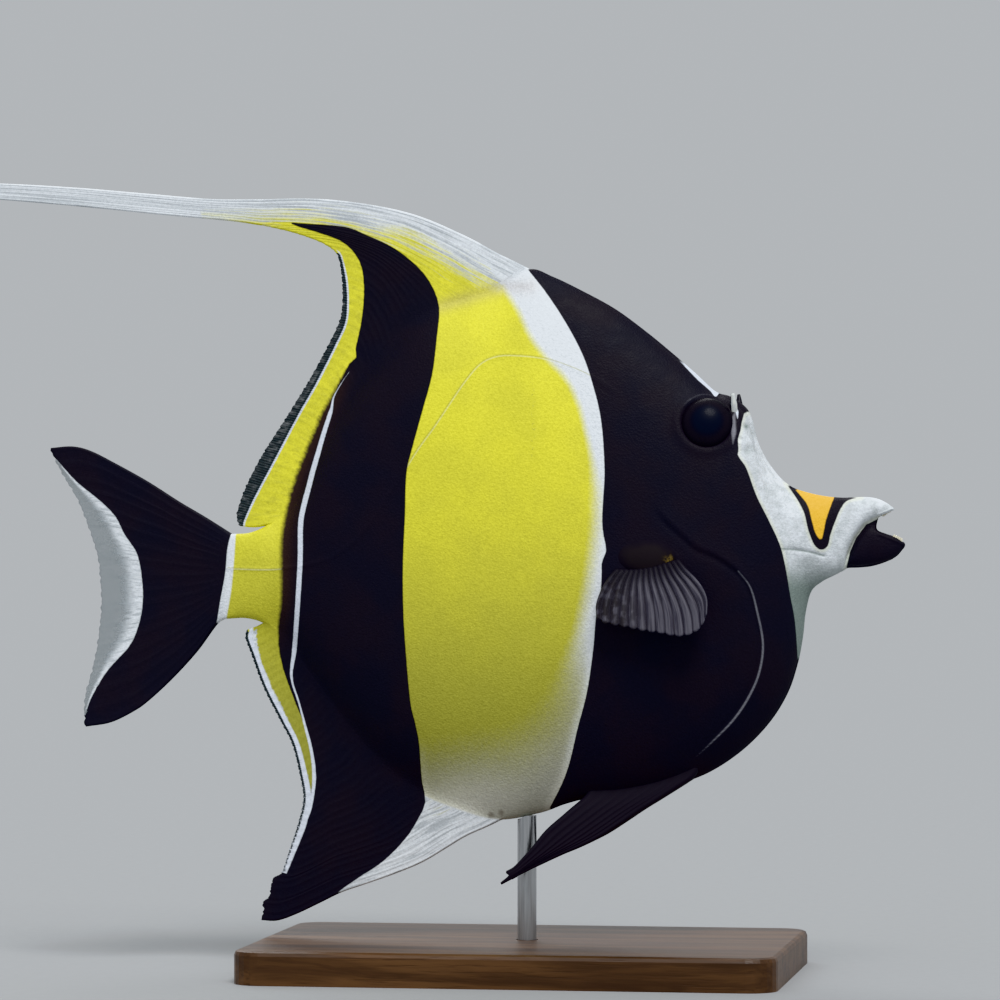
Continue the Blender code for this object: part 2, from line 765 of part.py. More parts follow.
def make_body():
    """The body, parted into tail root, torso, head, snout and upper jaw."""
    whole = lofted("whole", BODY_SECTIONS, SECTIONS_PER_ROW, POINTS_DOWN_FLANK)
    back = [(BODY_BACK, 180.0), (BODY_BACK, 0.0)]
    front = [(BODY_FRONT, 180.0), (BODY_FRONT, 0.0)]
    gill = spline(GILL_CUT, GILL_CUT_POINTS)
    regions = {
        "tail_base": (back, TAIL_CUT),
        "torso": (TAIL_CUT, gill),
        "head": (gill, SNOUT_CUT),
        "snout": (SNOUT_CUT, UPPER_JAW_CUT),
        "upper_jaw": (UPPER_JAW_CUT, front),
    }
    pieces = {}
    for name, (back_line, front_line) in regions.items():
        piece = duplicate(whole, name)
        pieces[name] = combine(piece, [region(name + "_region", back_line, front_line)], "INTERSECT")
    bpy.data.objects.remove(whole, do_unlink=True)
    return pieces


def make_head(head):
    """Adds eye rims, sinks the eye pits and pierces the nostrils."""
    combine(head, [eye_rim("rim", side) for side in (-1, 1)], "UNION")
    x, y, z = EYE_CENTRE
    cutters = []
    for side in (-1, 1):
        pit = cone("pit", (x, side * PIT_FLOOR, z), (x, side * PIT_TOP, z), PIT_RADIUS, PIT_RADIUS, 24)
        radii = (EYE_RADIUS + GAP, EYE_DEPTH + GAP, EYE_RADIUS + GAP)
        socket = ellipsoid("socket", (x, side * y, z), radii)
        cutters += [turned_with_eye(pit, side), turned_with_eye(socket, side)]
        for nx, nz in NOSTRILS:
            out = surface_out(nx, nz)
            cutters.append(ellipsoid("nostril", (nx, side * out, nz), (NOSTRIL_RADIUS,) * 3, 8, 6))
    combine(head, cutters, "DIFFERENCE")
    as_node(keep_largest(head), "head", black)


def make_gill_covers():
    """Each is the body grown outward, less the body's own room, within an outline."""
    outline = spline(GILL_COVER + GILL_COVER[:1], GILL_COVER_POINTS + 1)[:-1]
    for side, label in ((-1, "right"), (1, "left")):
        plate = lofted("plate", BODY_SECTIONS, SECTIONS_PER_ROW, POINTS_DOWN_FLANK, GAP + GILL_COVER_THICKNESS)
        combine(plate, [prism("outline", outline, 0.5 * side, CUT_HALF_WIDTH * side)], "INTERSECT")
        combine(plate, [grown_body("grown")], "DIFFERENCE")
        as_node(keep_largest(plate), "gill_cover_" + label, black)


def make_eyes_and_horns():
    x, y, z = EYE_CENTRE
    for side, label in ((-1, "right"), (1, "left")):
        ball = ellipsoid("ball", (x, side * y, z), (EYE_RADIUS, EYE_DEPTH, EYE_RADIUS))
        as_node(turned_with_eye(ball, side), "eye_" + label, glossy)
        path = spline([(a, side * b, c) for a, b, c in HORN_PATH], 9)
        radii = spline([(k, r) for k, r in enumerate(HORN_RADII)], 9)[:, 1]
        horn = tube("horn", path, radii)
        combine(horn, [grown_body("grown"), eye_rim("clear", side, RIM_THICKNESS + GAP)], "DIFFERENCE")
        as_node(keep_largest(horn), "horn_" + label, bony)


def row_of_teeth(lip, up):
    """Short bristle teeth set close behind a lip."""
    full = mirrored(lip[::-1])[:-1] + lip if lip[0][1] > lip[-1][1] else lip
    full = [(x, y, z) for x, y, z in sorted(full, key=lambda p: p[1])]
    line = spline(full, 60)
    picks = line[np.linspace(14, 45, TOOTH_COUNT).astype(int)]
    teeth = []
    for x, y, z in picks:
        root = (x - 0.45, y * 0.8, z - up * 0.1)
        lean = 0.35 * (1 - abs(y) / 2.5)
        tip = (x - 0.45 + lean, y * 0.85, z + up * TOOTH_LENGTH)
        teeth.append(cone("tooth", root, tip, TOOTH_ROOT_RADIUS, TOOTH_TIP_RADIUS, 5))
    return teeth


def lip_rod(name, lip):
    full = mirrored(lip)[:-1] + lip[::-1]
    line = spline(full, LIP_POINTS)
    swell = np.sin(np.linspace(LIP_END_SWELL, math.pi - LIP_END_SWELL, LIP_POINTS)) ** 0.5
    return tube(name, line, LIP_RADIUS * swell)


def make_jaws(upper):
    combine(upper, [lip_rod("upper_lip", UPPER_LIP)] + row_of_teeth(UPPER_LIP, -1), "UNION")
    as_node(keep_largest(upper), "upper_jaw", white)
    lower = lofted("lower", JAW_SECTIONS, JAW_SECTIONS_PER_ROW, 9)
    combine(lower, [lip_rod("lower_lip", LOWER_LIP)] + row_of_teeth(LOWER_LIP, 1), "UNION")
    combine(lower, [grown_body("grown")], "DIFFERENCE")
    as_node(keep_largest(lower), "lower_jaw", black)


def flat(share):
    return np.zeros_like(share)


def make_midline_fins():
    columns = 2 * (DORSAL_SPINES + DORSAL_RAYS) + 1
    in_filament = 2 * DORSAL_SPINES
    root = even(body_edge(12, 1, True, GAP), columns)
    parting = spline(FILAMENT_PARTING, in_filament + 1)
    trailing = spline(DORSAL_TRAILING, columns - in_filament)
    margin = np.vstack([parting, trailing[1:]])
    grid = patch(root, margin, spline([root[0], *DORSAL_TOP[1:]], 8), spline([root[-1], DORSAL_TRAILING[-1]], 8))
    dorsal = fin("dorsal", grid, DORSAL_THICKNESS, flat, tip_reach=0.0)
    as_node(dorsal, "dorsal_fin", yellow, RAY_SHARP)

    columns = 2 * FILAMENT_RIDGES + 1
    start = spline([FILAMENT_TOP[0], FILAMENT_LOW[0]], columns)
    end = spline([FILAMENT_TOP[-1], FILAMENT_LOW[-1]], columns)
    grid = patch(start, end, spline(FILAMENT_TOP, 17), spline(FILAMENT_LOW, 17))
    filament = fin("filament", grid, FILAMENT_THICKNESS, flat, 0.12, 0.0)
    as_node(filament, "dorsal_filament", white, RAY_SHARP)

    columns = 2 * ANAL_RAYS + 1
    root = even(body_edge(11, 1, False, GAP), columns)
    front = spline([root[0], *ANAL_FRONT[1:]], 8)
    rear = spline([root[-1], ANAL_TRAILING[-1]], 8)
    grid = patch(root, spline(ANAL_TRAILING, columns), front, rear)
    as_node(fin("anal", grid, ANAL_THICKNESS, flat), "anal_fin", black, RAY_SHARP)

    columns = 2 * CAUDAL_RAYS + 1
    grid = patch(
        spline(CAUDAL_ROOT, columns),
        spline(CAUDAL_TRAILING, columns),
        spline(CAUDAL_TOP, 8),
        spline(CAUDAL_LOW, 8),
    )
    as_node(fin("caudal", grid, CAUDAL_THICKNESS, flat), "caudal_fin", black, RAY_SHARP)


def make_paired_fins():
    for side, label in ((-1, "right"), (1, "left")):
        columns = 2 * PELVIC_RAYS + 1
        tip = spline([PELVIC_FRONT[-1], PELVIC_REAR[-1]], columns)
        grid = patch(spline(PELVIC_ROOT, columns), tip, spline(PELVIC_FRONT, 11), spline(PELVIC_REAR, 11))

        def spread(share, side=side):
            return side * (PELVIC_ROOT_OUT + (PELVIC_TIP_OUT - PELVIC_ROOT_OUT) * share**0.8)

        pelvic = fin("pelvic", grid, PELVIC_THICKNESS, spread, tip_reach=0.0)
        combine(pelvic, [grown_body("grown")], "DIFFERENCE")
        as_node(keep_largest(pelvic), "pelvic_fin_" + label, black, RAY_SHARP)

        columns = 2 * PECTORAL_RAYS + 1
        margin = spline(PECTORAL_MARGIN, columns)
        root = spline(PECTORAL_ROOT, columns)
        grid = patch(root, margin, spline([root[0], margin[0]], 5), spline([root[-1], margin[-1]], 5))

        def flare(share, side=side):
            return side * (PECTORAL_ROOT_OUT + (PECTORAL_TIP_OUT - PECTORAL_ROOT_OUT) * share**0.7)

        fan = fin("fan", grid, PECTORAL_THICKNESS, flare, 0.18, 0.25)
        x, y, z = LOBE_CENTRE
        lobe = ellipsoid("lobe", (x, side * y, z), LOBE_RADII, 16, 10)
        combine(lobe, [fan], "UNION")
        combine(lobe, [grown_body("grown")], "DIFFERENCE")
        as_node(keep_largest(lobe), "pectoral_fin_" + label, smoky, RAY_SHARP)


def make_stand():
    bpy.ops.mesh.primitive_cube_add(size=1, location=(0, 0, BASE_HEIGHT / 2 * MM))
    base = bpy.context.active_object
    base.scale = (BASE_LENGTH * MM, BASE_WIDTH * MM, BASE_HEIGHT * MM)
    bpy.ops.object.transform_apply(location=True, rotation=True, scale=True)
    shape = bmesh.new()
    shape.from_mesh(base.data)
    upright = [e for e in shape.edges if abs(e.verts[0].co.z - e.verts[1].co.z) > MM]
    bmesh.ops.bevel(shape, geom=upright, offset=BASE_CORNER * MM, segments=6, profile=0.5, affect="EDGES")
    upper = [e for e in shape.edges if all(v.co.z > (BASE_HEIGHT - 0.1) * MM for v in e.verts)]
    bmesh.ops.bevel(shape, geom=upper, offset=BASE_EDGE * MM, segments=2, profile=0.5, affect="EDGES")
    shape.to_mesh(base.data)
    shape.free()
    floor_of_hole = BASE_HEIGHT - ROD_DEPTH_IN_BASE
    hole = cone("hole", (0, 0, floor_of_hole - GAP), (0, 0, BASE_HEIGHT + 5), ROD_RADIUS + GAP, ROD_RADIUS + GAP, 32)
    combine(base, [hole], "DIFFERENCE")
    as_node(base, "stand_base", wood)
    rod = cone("rod", (0, 0, floor_of_hole), (0, 0, ROD_TOP), ROD_RADIUS, ROD_RADIUS, 32)
    combine(rod, [grown_body("grown")], "DIFFERENCE")
    as_node(keep_largest(rod), "stand_rod", steel)


body = make_body()
as_node(keep_largest(body["tail_base"]), "tail_base", yellow)
as_node(keep_largest(body["torso"]), "torso", yellow)
make_head(body["head"])
as_node(keep_largest(body["snout"]), "snout", white)
make_jaws(body["upper_jaw"])
make_gill_covers()
make_eyes_and_horns()
make_midline_fins()
make_paired_fins()
make_stand()
CUTTERS.hide_render = True
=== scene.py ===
"""Looks of the moorish idol: its skin, eyes, horns, paired fins and stand.

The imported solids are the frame. The fish faces +X, its mid plane is Y = 0 and the
origin is under the stand. Outlines are (x, z) points in millimetres on the mid
plane, and every mesh is scaled to metres when it is made.
"""

import math

import bpy
import numpy as np
from mathutils import Matrix, Vector


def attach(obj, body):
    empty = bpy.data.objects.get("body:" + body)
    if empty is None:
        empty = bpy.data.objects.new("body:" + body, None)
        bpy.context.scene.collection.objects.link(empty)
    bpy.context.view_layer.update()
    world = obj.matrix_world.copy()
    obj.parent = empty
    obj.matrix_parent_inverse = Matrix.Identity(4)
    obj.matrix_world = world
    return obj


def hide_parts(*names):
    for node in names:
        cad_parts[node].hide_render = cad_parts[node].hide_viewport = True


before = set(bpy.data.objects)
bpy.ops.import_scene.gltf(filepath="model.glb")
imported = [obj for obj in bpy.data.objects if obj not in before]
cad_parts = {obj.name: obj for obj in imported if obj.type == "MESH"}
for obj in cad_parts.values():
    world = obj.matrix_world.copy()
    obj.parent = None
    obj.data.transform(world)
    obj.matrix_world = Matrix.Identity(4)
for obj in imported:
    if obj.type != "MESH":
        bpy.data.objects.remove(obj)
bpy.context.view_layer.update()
MM = 0.001

# Skin of the body, the jaws and the midline fins.
# On the fish it is one velvety sheet of tiny scales that runs on over the fin rays,
# so here it is one mesh: the near half is sewn from grids and mirrored to the far side.

# One section a row, from the tail root to the tip of the upper jaw: top point, bottom
# point, half width, half width of the top and bottom edge, how far down the widest
# place lies, and how round it is above and below that.
BODY_SECTIONS = [
    ((-63.0, 92.0), (-64.7, 74.0), 1.7, 1.3, 0.9, 0.5, 2.0, 2.0),
    ((-59.3, 92.3), (-60.4, 74.2), 2.6, 1.3, 1.3, 0.5, 2.0, 2.0),
    ((-55.4, 93.9), (-56.7, 73.4), 3.4, 1.4, 1.4, 0.5, 1.9, 1.9),
    ((-51.8, 96.5), (-53.5, 71.9), 4.1, 1.45, 1.45, 0.5, 1.75, 1.75),
    ((-48.5, 101.5), (-50.0, 68.1), 4.9, 1.5, 1.5, 0.5, 1.6, 1.6),
    ((-44.7, 109.1), (-46.4, 62.9), 5.8, 1.5, 1.5, 0.5, 1.5, 1.5),
    ((-40.4, 117.1), (-41.9, 56.8), 6.8, 1.55, 1.5, 0.5, 1.5, 1.5),
    ((-35.2, 124.9), (-36.9, 50.5), 7.8, 1.6, 1.5, 0.5, 1.5, 1.5),
    ((-29.2, 132.3), (-30.5, 43.6), 8.7, 1.65, 1.5, 0.5, 1.5, 1.5),
    ((-21.7, 139.0), (-21.9, 37.5), 9.6, 1.7, 1.5, 0.5, 1.5, 1.5),
    ((-13.2, 141.9), (-13.2, 34.2), 10.4, 1.7, 1.5, 0.5, 1.5, 1.5),
    ((-5.7, 144.1), (-5.1, 32.3), 11.0, 1.5, 1.4, 0.52, 1.5, 1.5),
    ((0.6, 147.5), (2.8, 33.6), 11.5, 1.0, 1.3, 0.54, 1.5, 1.5),
    ((5.5, 146.0), (8.1, 35.5), 11.8, 0.7, 1.5, 0.55, 1.5, 1.5),
    ((11.7, 143.0), (13.3, 36.8), 12.1, 0.7, 2.2, 0.55, 1.5, 1.5),
    ((18.6, 139.2), (20.7, 37.6), 12.2, 0.7, 2.6, 0.55, 1.5, 1.5),
    ((25.0, 134.5), (29.2, 39.2), 12.1, 0.8, 2.1, 0.54, 1.55, 1.45),
    ((30.6, 129.9), (37.6, 42.0), 11.8, 0.8, 1.2, 0.52, 1.65, 1.4),
    ((35.5, 125.6), (44.9, 46.7), 11.3, 0.95, 0.8, 0.48, 1.75, 1.4),
    ((39.5, 121.9), (50.8, 52.6), 10.7, 1.4, 0.7, 0.44, 1.85, 1.4),
    ((42.6, 120.8), (54.7, 58.8), 9.9, 2.2, 0.7, 0.4, 1.85, 1.4),
    ((45.3, 118.8), (56.8, 64.9), 8.9, 2.6, 0.7, 0.38, 1.85, 1.4),
    ((46.8, 116.0), (57.9, 70.5), 7.9, 2.2, 0.7, 0.37, 1.85, 1.4),
    ((48.15, 111.55), (58.5, 75.7), 7.0, 1.6, 0.7, 0.38, 1.85, 1.45),
    ((50.25, 107.5), (59.7, 80.1), 6.1, 1.3, 0.8, 0.41, 1.9, 1.55),
    ((52.9, 104.05), (62.0, 82.2), 5.4, 1.1, 0.9, 0.45, 1.95, 1.75),
    ((55.6, 101.9), (64.3, 83.4), 4.8, 1.0, 1.0, 0.48, 2.0, 1.9),
    ((58.7, 100.8), (65.8, 84.2), 4.3, 0.9, 1.1, 0.5, 2.0, 2.0),
    ((62.5, 100.0), (66.8, 85.3), 3.9, 0.9, 1.3, 0.5, 2.0, 2.0),
    ((66.2, 99.7), (67.7, 88.0), 3.6, 0.9, 1.5, 0.5, 2.0, 2.0),
    ((69.1, 99.8), (69.3, 91.5), 3.3, 0.9, 1.5, 0.5, 2.0, 2.0),
    ((71.6, 99.8), (71.4, 94.1), 3.0, 0.8, 1.3, 0.5, 2.0, 2.0),
    ((73.7, 99.4), (73.7, 95.3), 2.5, 0.7, 1.0, 0.5, 2.0, 2.0),
    ((75.6, 98.5), (75.3, 96.1), 1.7, 0.5, 0.6, 0.5, 2.0, 2.0),
    ((76.8, 97.6), (76.6, 96.9), 0.7, 0.3, 0.35, 0.5, 2.0, 2.0),
]
ROWS = np.array([(*top, *low, *rest) for top, low, *rest in BODY_SECTIONS])
FLANK_POWER = 2.2
FIN_BACK_ROW, ANAL_FRONT_ROW, DORSAL_FRONT_ROW = 2.3, 11, 12
JAW_BACK_ROW, MOUTH_ROW, SNOUT_TIP_ROW = 27.4, 32, 34
STATION_STEPS = {0: 0.4, 2.3: 0.34, 11: 0.34, 12: 0.42, 27.4: 0.25, 32: 0.25}
POINTS_DOWN_FLANK = 184
FIN_FILLET = 4.0
JAW_FILLET = 0.7
LIP_ROLL, LIP_ROLL_DROP = 0.28, 0.5
BODY_CROWN, MOUTH_CROWN = 0.3, -0.7


def between_rows(values, where):
    """Smooth values at fractional row numbers."""
    rows = np.asarray(values, float)
    ends = np.vstack([2 * rows[0] - rows[1], rows, 2 * rows[-1] - rows[-2]])
    k = np.clip(np.floor(where).astype(int), 0, len(rows) - 2)
    t = (where - k)[:, None]
    a, b, c, d = (ends[k + n] for n in range(4))
    return 0.5 * (2 * b + (c - a) * t + (2 * a - 5 * b + 4 * c - d) * t**2 + (3 * b - a - 3 * c + d) * t**3)


def curve(points, shares):
    """A smooth curve through points, at shares of its length, or at a number of even ones."""
    pts = np.asarray(points, float)
    dense = between_rows(pts, np.linspace(0, len(pts) - 1, 24 * len(pts)))
    run = np.concatenate([[0], np.cumsum(np.linalg.norm(np.diff(dense, axis=0), axis=1))])
    where = (np.linspace(0, 1, shares) if np.isscalar(shares) else shares) * run[-1]
    return np.stack([np.interp(where, run, dense[:, k]) for k in range(pts.shape[1])], axis=1)


def ramp(value, start, end):
    """0 at start and 1 at end, with soft ends."""
    t = np.clip((value - start) / (end - start), 0, 1)
    return t * t * (3 - 2 * t)


def bell(distance, reach):
    """1 at no distance, falling off smoothly over about the reach."""
    return np.exp(-((distance / reach) ** 2))


def half_width(down, wide, top_edge, low_edge, widest, round_above, round_below):
    """Half width at a share of the way down a section."""
    above = down < widest
    share = np.where(above, (widest - down) / widest, (down - widest) / (1 - widest))
    roundness = np.where(above, round_above, round_below)
    bulge = (1 - np.clip(share, 0, 1) ** FLANK_POWER) ** (1 / roundness)
    edge = np.where(above, top_edge, low_edge)
    return edge + (wide - edge) * bulge


def stations(first, last, step):
    """Row numbers spaced evenly along the longer of the body's two edges."""
    dense = np.linspace(first, last, 400)
    edges = between_rows(ROWS, dense)[:, :4].reshape(-1, 2, 2)
    run = np.concatenate([[0], np.linalg.norm(np.diff(edges, axis=0), axis=2).max(axis=1).cumsum()])
    return np.interp(np.linspace(0, run[-1], int(run[-1] / step) + 2), run, dense)


stops = [*STATION_STEPS, SNOUT_TIP_ROW]
spans = [stations(a, b, STATION_STEPS[a]) for a, b in zip(stops[:-1], stops[1:])]
rows_at = np.concatenate([spans[0], *(span[1:] for span in spans[1:])])
column = {stop: int(np.abs(rows_at - stop).argmin()) for stop in stops}
sections = between_rows(ROWS, rows_at)
top_line, low_line = sections[:, :2], sections[:, 2:4]
even_down = np.linspace(0, 1, POINTS_DOWN_FLANK)
down = 0.5 * even_down + 0.25 * (1 - np.cos(math.pi * even_down))
top_edge, low_edge, widest = (sections[:, n : n + 1] for n in (5, 6, 7))
flank = half_width(down, *(sections[:, n : n + 1] for n in range(4, 10)))
height = np.linalg.norm(top_line - low_line, axis=1)[:, None]
at = rows_at[:, None]
from_top, from_low = down * height, (1 - down) * height
fins_back = ramp(at, FIN_BACK_ROW - 0.7, FIN_BACK_ROW + 0.7)
at_dorsal = ramp(at, DORSAL_FRONT_ROW + 0.7, DORSAL_FRONT_ROW - 0.8) * fins_back
at_anal = ramp(at, ANAL_FRONT_ROW + 0.7, ANAL_FRONT_ROW - 0.8) * fins_back
at_jaw = ramp(at, JAW_BACK_ROW - 0.6, JAW_BACK_ROW + 0.6) * ramp(at, MOUTH_ROW + 0.2, MOUTH_ROW - 0.5)
hollow = (1 - at_dorsal * np.exp(-from_top / FIN_FILLET)) * (1 - at_anal * np.exp(-from_low / FIN_FILLET))
hollow *= 1 - at_jaw * np.exp(-from_low / JAW_FILLET)
edge = np.where(down < widest, top_edge, low_edge)
flank = edge + (flank - edge) * hollow
flank += LIP_ROLL * bell(from_low - LIP_ROLL_DROP, 0.4) * ramp(at, MOUTH_ROW - 0.4, MOUTH_ROW + 0.4)
upward = (top_line - low_line) / height
top_line = top_line - upward * BODY_CROWN * top_edge * (1 - at_dorsal)
low_line = low_line + upward * BODY_CROWN * low_edge * (1 - at_anal) * (1 - at_jaw)
flank_line = top_line[:, None] + down[None, :, None] * (low_line - top_line)[:, None]


class NearSide:
    """The near half of the skin, sewn together from grids of points."""

    def __init__(self):
        self.points = np.zeros((0, 3))
        self.quads = np.zeros((0, 4), int)
        self.traits = {name: np.zeros(0) for name in ("across", "along", "ray", "jag", "web", "crown")}

    def sew(self, grid, root=None, **traits):
        """Adds a grid, whose first row may be points that are sewn in already."""
        skip = 0 if root is None else 1
        rest = grid[skip:]
        ids = len(self.points) + np.arange(rest[..., 0].size).reshape(rest.shape[:2])
        self.points = np.vstack([self.points, rest.reshape(-1, 3)])
        for name, kept in self.traits.items():
            value = np.broadcast_to(traits.get(name, 0.0), grid.shape[:2])
            self.traits[name] = np.concatenate([kept, value[skip:].ravel()])
        if skip:
            ids = np.vstack([root, ids])
        corners = [ids[:-1, :-1], ids[:-1, 1:], ids[1:, 1:], ids[1:, :-1]]
        quads = np.stack(corners, -1).reshape(-1, 4)
        a, b, c = (self.points[quads[:, n]][:, ::2] for n in (0, 1, 2))
        area = (b - a)[:, 0] * (c - a)[:, 1] - (b - a)[:, 1] * (c - a)[:, 0]
        self.quads = np.vstack([self.quads, quads if np.median(area) > 0 else quads[:, ::-1]])
        return ids


near = NearSide()
in_mouth = (at > MOUTH_ROW - 0.01) & (down > 0.9)
body_ids = near.sew(
    np.dstack([flank_line[..., 0], -flank, flank_line[..., 1]]),
    crown=np.where(in_mouth, MOUTH_CROWN, BODY_CROWN),
)

# Outlines of the fins in the skin: the dorsal fin with its long filament, the anal
# fin and the tail fin.
DORSAL_TOP = [
    (-2.5, 148.9), (-6.6, 150.9), (-12.5, 154.1), (-21.5, 158.1), (-29.0, 160.3), (-38.4, 161.9),
    (-47.0, 162.6), (-57.5, 162.5),
]
FILAMENT_PARTING = [(-57.5, 162.5), (-57.2, 160.0), (-56.8, 157.6)]
DORSAL_TRAILING = [
    (-56.8, 157.6), (-50.3, 156.1), (-44.2, 154.0), (-41.1, 152.1), (-40.0, 150.5), (-39.4, 147.5),
    (-39.1, 144.0), (-39.2, 139.5), (-40.1, 136.0), (-43.3, 129.7), (-46.4, 124.2), (-48.9, 120.2),
    (-51.3, 116.4), (-53.9, 112.5), (-56.3, 108.8), (-58.4, 105.0), (-60.2, 101.3), (-61.4, 98.0),
    (-61.9, 95.8), (-61.5, 94.0),
]
DORSAL_REAR_EDGE = [(-58.2, 93.7), (-61.5, 94.0)]
FILAMENT_TOP = [
    (-68.0, 162.7), (-82.1, 164.0), (-97.1, 165.4), (-113.8, 166.5), (-132.0, 167.2), (-150.0, 167.0),
    (-168.0, 165.8),
]
FILAMENT_LOW = [
    (-63.6, 158.6), (-78.2, 160.0), (-90.3, 161.3), (-102.4, 162.5), (-113.8, 163.5), (-132.0, 164.9),
    (-150.0, 165.5), (-168.0, 165.3),
]
ANAL_FRONT = [
    (-8.1, 31.0), (-13.0, 28.8), (-17.0, 26.4), (-22.4, 23.2), (-28.6, 20.6), (-34.8, 18.4),
    (-39.7, 16.7), (-44.2, 14.5), (-49.2, 12.1), (-53.3, 10.6), (-56.6, 10.6),
]
ANAL_TRAILING = [
    (-56.6, 10.6), (-56.0, 12.6), (-56.3, 13.9), (-54.9, 15.2), (-54.5, 17.4), (-53.9, 19.2),
    (-52.2, 20.3), (-50.5, 25.2), (-48.6, 30.9), (-47.5, 36.0), (-48.2, 40.9), (-49.9, 47.6),
    (-52.6, 52.9), (-56.1, 59.7), (-58.7, 66.6), (-60.0, 70.1), (-59.7, 71.5),
]
ANAL_REAR_EDGE = [(-57.8, 72.2), (-59.7, 71.5)]
CAUDAL_TOP = [
    (-68.8, 95.2), (-74.7, 98.6), (-81.6, 102.9), (-88.6, 106.7), (-94.1, 109.4), (-98.0, 110.3),
    (-102.4, 110.0),
]
CAUDAL_LOW = [
    (-66.6, 73.0), (-70.8, 67.4), (-76.2, 61.6), (-81.6, 56.7), (-85.0, 54.4), (-89.7, 52.2),
    (-94.9, 51.3),
]
CAUDAL_TRAILING = [
    (-102.4, 110.0), (-100.0, 105.2), (-96.5, 99.4), (-94.1, 93.5), (-92.1, 87.3), (-91.5, 82.0),
    (-91.3, 76.4), (-92.1, 68.8), (-93.3, 63.0), (-94.9, 56.9), (-94.9, 51.3),
]
FILAMENT_COLUMNS = 42
DORSAL_RAYS, ANAL_RAYS, CAUDAL_RAYS = 46, 36, 17
DORSAL_ROWS, FILAMENT_ROWS, ANAL_ROWS, CAUDAL_ROWS = 72, 130, 64, 64
FIN_EDGE, FILAMENT_ROOT, FILAMENT_TIP = 0.30, 0.50, 0.26
THINNING = 2.2
RAY_PROUD = 0.06
FIN_CROWN, CROWN_REACH = 0.9, 0.28
FRINGE, COMB = 0.10, 2.5
DORSAL_FROM, ANAL_FROM, CAUDAL_FROM = 1, 60, 120
CAUDAL_STREAKS = 2.4


def patch(root, margin, front, rear):
    """A grid of (x, z) points filling four border lines (a Coons patch)."""
    across = np.linspace(0, 1, len(root))[None, :, None]
    out = np.linspace(0, 1, len(front))[:, None, None]
    ruled = (1 - out) * root[None] + out * margin[None]
    sides = (1 - across) * front[:, None] + across * rear[:, None]
    corners = (1 - out) * ((1 - across) * root[0] + across * root[-1])
    corners = corners + out * ((1 - across) * margin[0] + across * margin[-1])
    return ruled + sides - corners


def rayed(grid, half, across, fringed=1.0):
    """Raises fin rays out of a grid, one at each whole number across, and frays its margin."""
    share = np.linspace(0, 1, len(grid))[:, None]
    uneven = across + 0.10 * np.sin(2.7 * across) + 0.05 * np.sin(6.1 * across + 1.0)
    ray = (0.5 + 0.5 * np.cos(2 * math.pi * uneven)) ** 2 + 0 * share
    out = grid[-1] - grid[-6]
    out /= np.linalg.norm(out, axis=1)[:, None]
    frayed = FRINGE * (np.cos(2 * math.pi * COMB * across) + 0.8 * np.sin(9.0 * across)) * fringed
    grid = grid + (share**14)[..., None] * (frayed[:, None] * out)[None]
    y = -(half + RAY_PROUD * ray * np.minimum(1, share * 4))
    rays = {"ray": ray, "along": share + 0 * ray}
    return np.dstack([grid[..., 0], y, grid[..., 1]]), rays


def fin_crown(half):
    """How far a fin's edge is rounded off, as a share of its half thickness."""
    return np.minimum(FIN_CROWN, CROWN_REACH / half)


def grow_fin(root_ids, margin, borders, rows, rays_at, across, jag, edge_half=FIN_EDGE, fringed=1.0):
    """Grows a rayed fin out of points that are sewn in, between two borders, to a margin."""
    root = near.points[root_ids]
    front, rear = (curve([root[end, ::2], *border], rows + 1) for end, border in zip((0, -1), borders))
    grid = patch(root[:, ::2], margin, front, rear)
    share = np.linspace(0, 1, rows + 1)[:, None]
    half = edge_half + (-root[:, 1] - edge_half) * (1 - share) ** THINNING
    points, rays = rayed(grid, half, rays_at, fringed)
    ids = near.sew(points, root_ids, across=across, jag=jag, web=1.0, crown=fin_crown(half), **rays)
    return ids, rays


# Dorsal fin. Its first columns stay thick, because the filament grows on from them.
root_ids = body_ids[column[FIN_BACK_ROW] : column[DORSAL_FRONT_ROW] + 1, 0][::-1]
count = len(root_ids)
parting = curve(FILAMENT_PARTING, FILAMENT_COLUMNS + 1)
margin = np.vstack([parting, curve(DORSAL_TRAILING, count - FILAMENT_COLUMNS)[1:]])
columns = np.arange(count)
across = columns / (count - 1) * DORSAL_RAYS
dorsal_ids, rays = grow_fin(
    root_ids,
    margin,
    (DORSAL_TOP, DORSAL_REAR_EDGE),
    DORSAL_ROWS,
    across,
    across + DORSAL_FROM,
    jag=1.6,
    edge_half=FIN_EDGE + (FILAMENT_ROOT - FIN_EDGE) * ramp(columns, 2 * FILAMENT_COLUMNS, FILAMENT_COLUMNS),
    fringed=ramp(columns, FILAMENT_COLUMNS + 3, FILAMENT_COLUMNS + 12),
)

# Filament, which carries the same rays on and thins to its tip.
root_ids = dorsal_ids[-1, : FILAMENT_COLUMNS + 1]
root = near.points[root_ids]
front = curve([parting[0], *FILAMENT_TOP], FILAMENT_ROWS + 1)
rear = curve([parting[-1], *FILAMENT_LOW], FILAMENT_ROWS + 1)
grid = patch(root[:, ::2], curve([FILAMENT_TOP[-1], FILAMENT_LOW[-1]], len(root)), front, rear)
share = np.linspace(0, 1, FILAMENT_ROWS + 1)[:, None]
near.sew(
    np.dstack([grid[..., 0], root[:, 1] * (1 - share) - FILAMENT_TIP * share, grid[..., 1]]),
    root_ids,
    ray=rays["ray"][-1, : FILAMENT_COLUMNS + 1],
    along=1 + share,
    across=across[: FILAMENT_COLUMNS + 1] + DORSAL_FROM,
    web=1.0,
    crown=0.6,
)

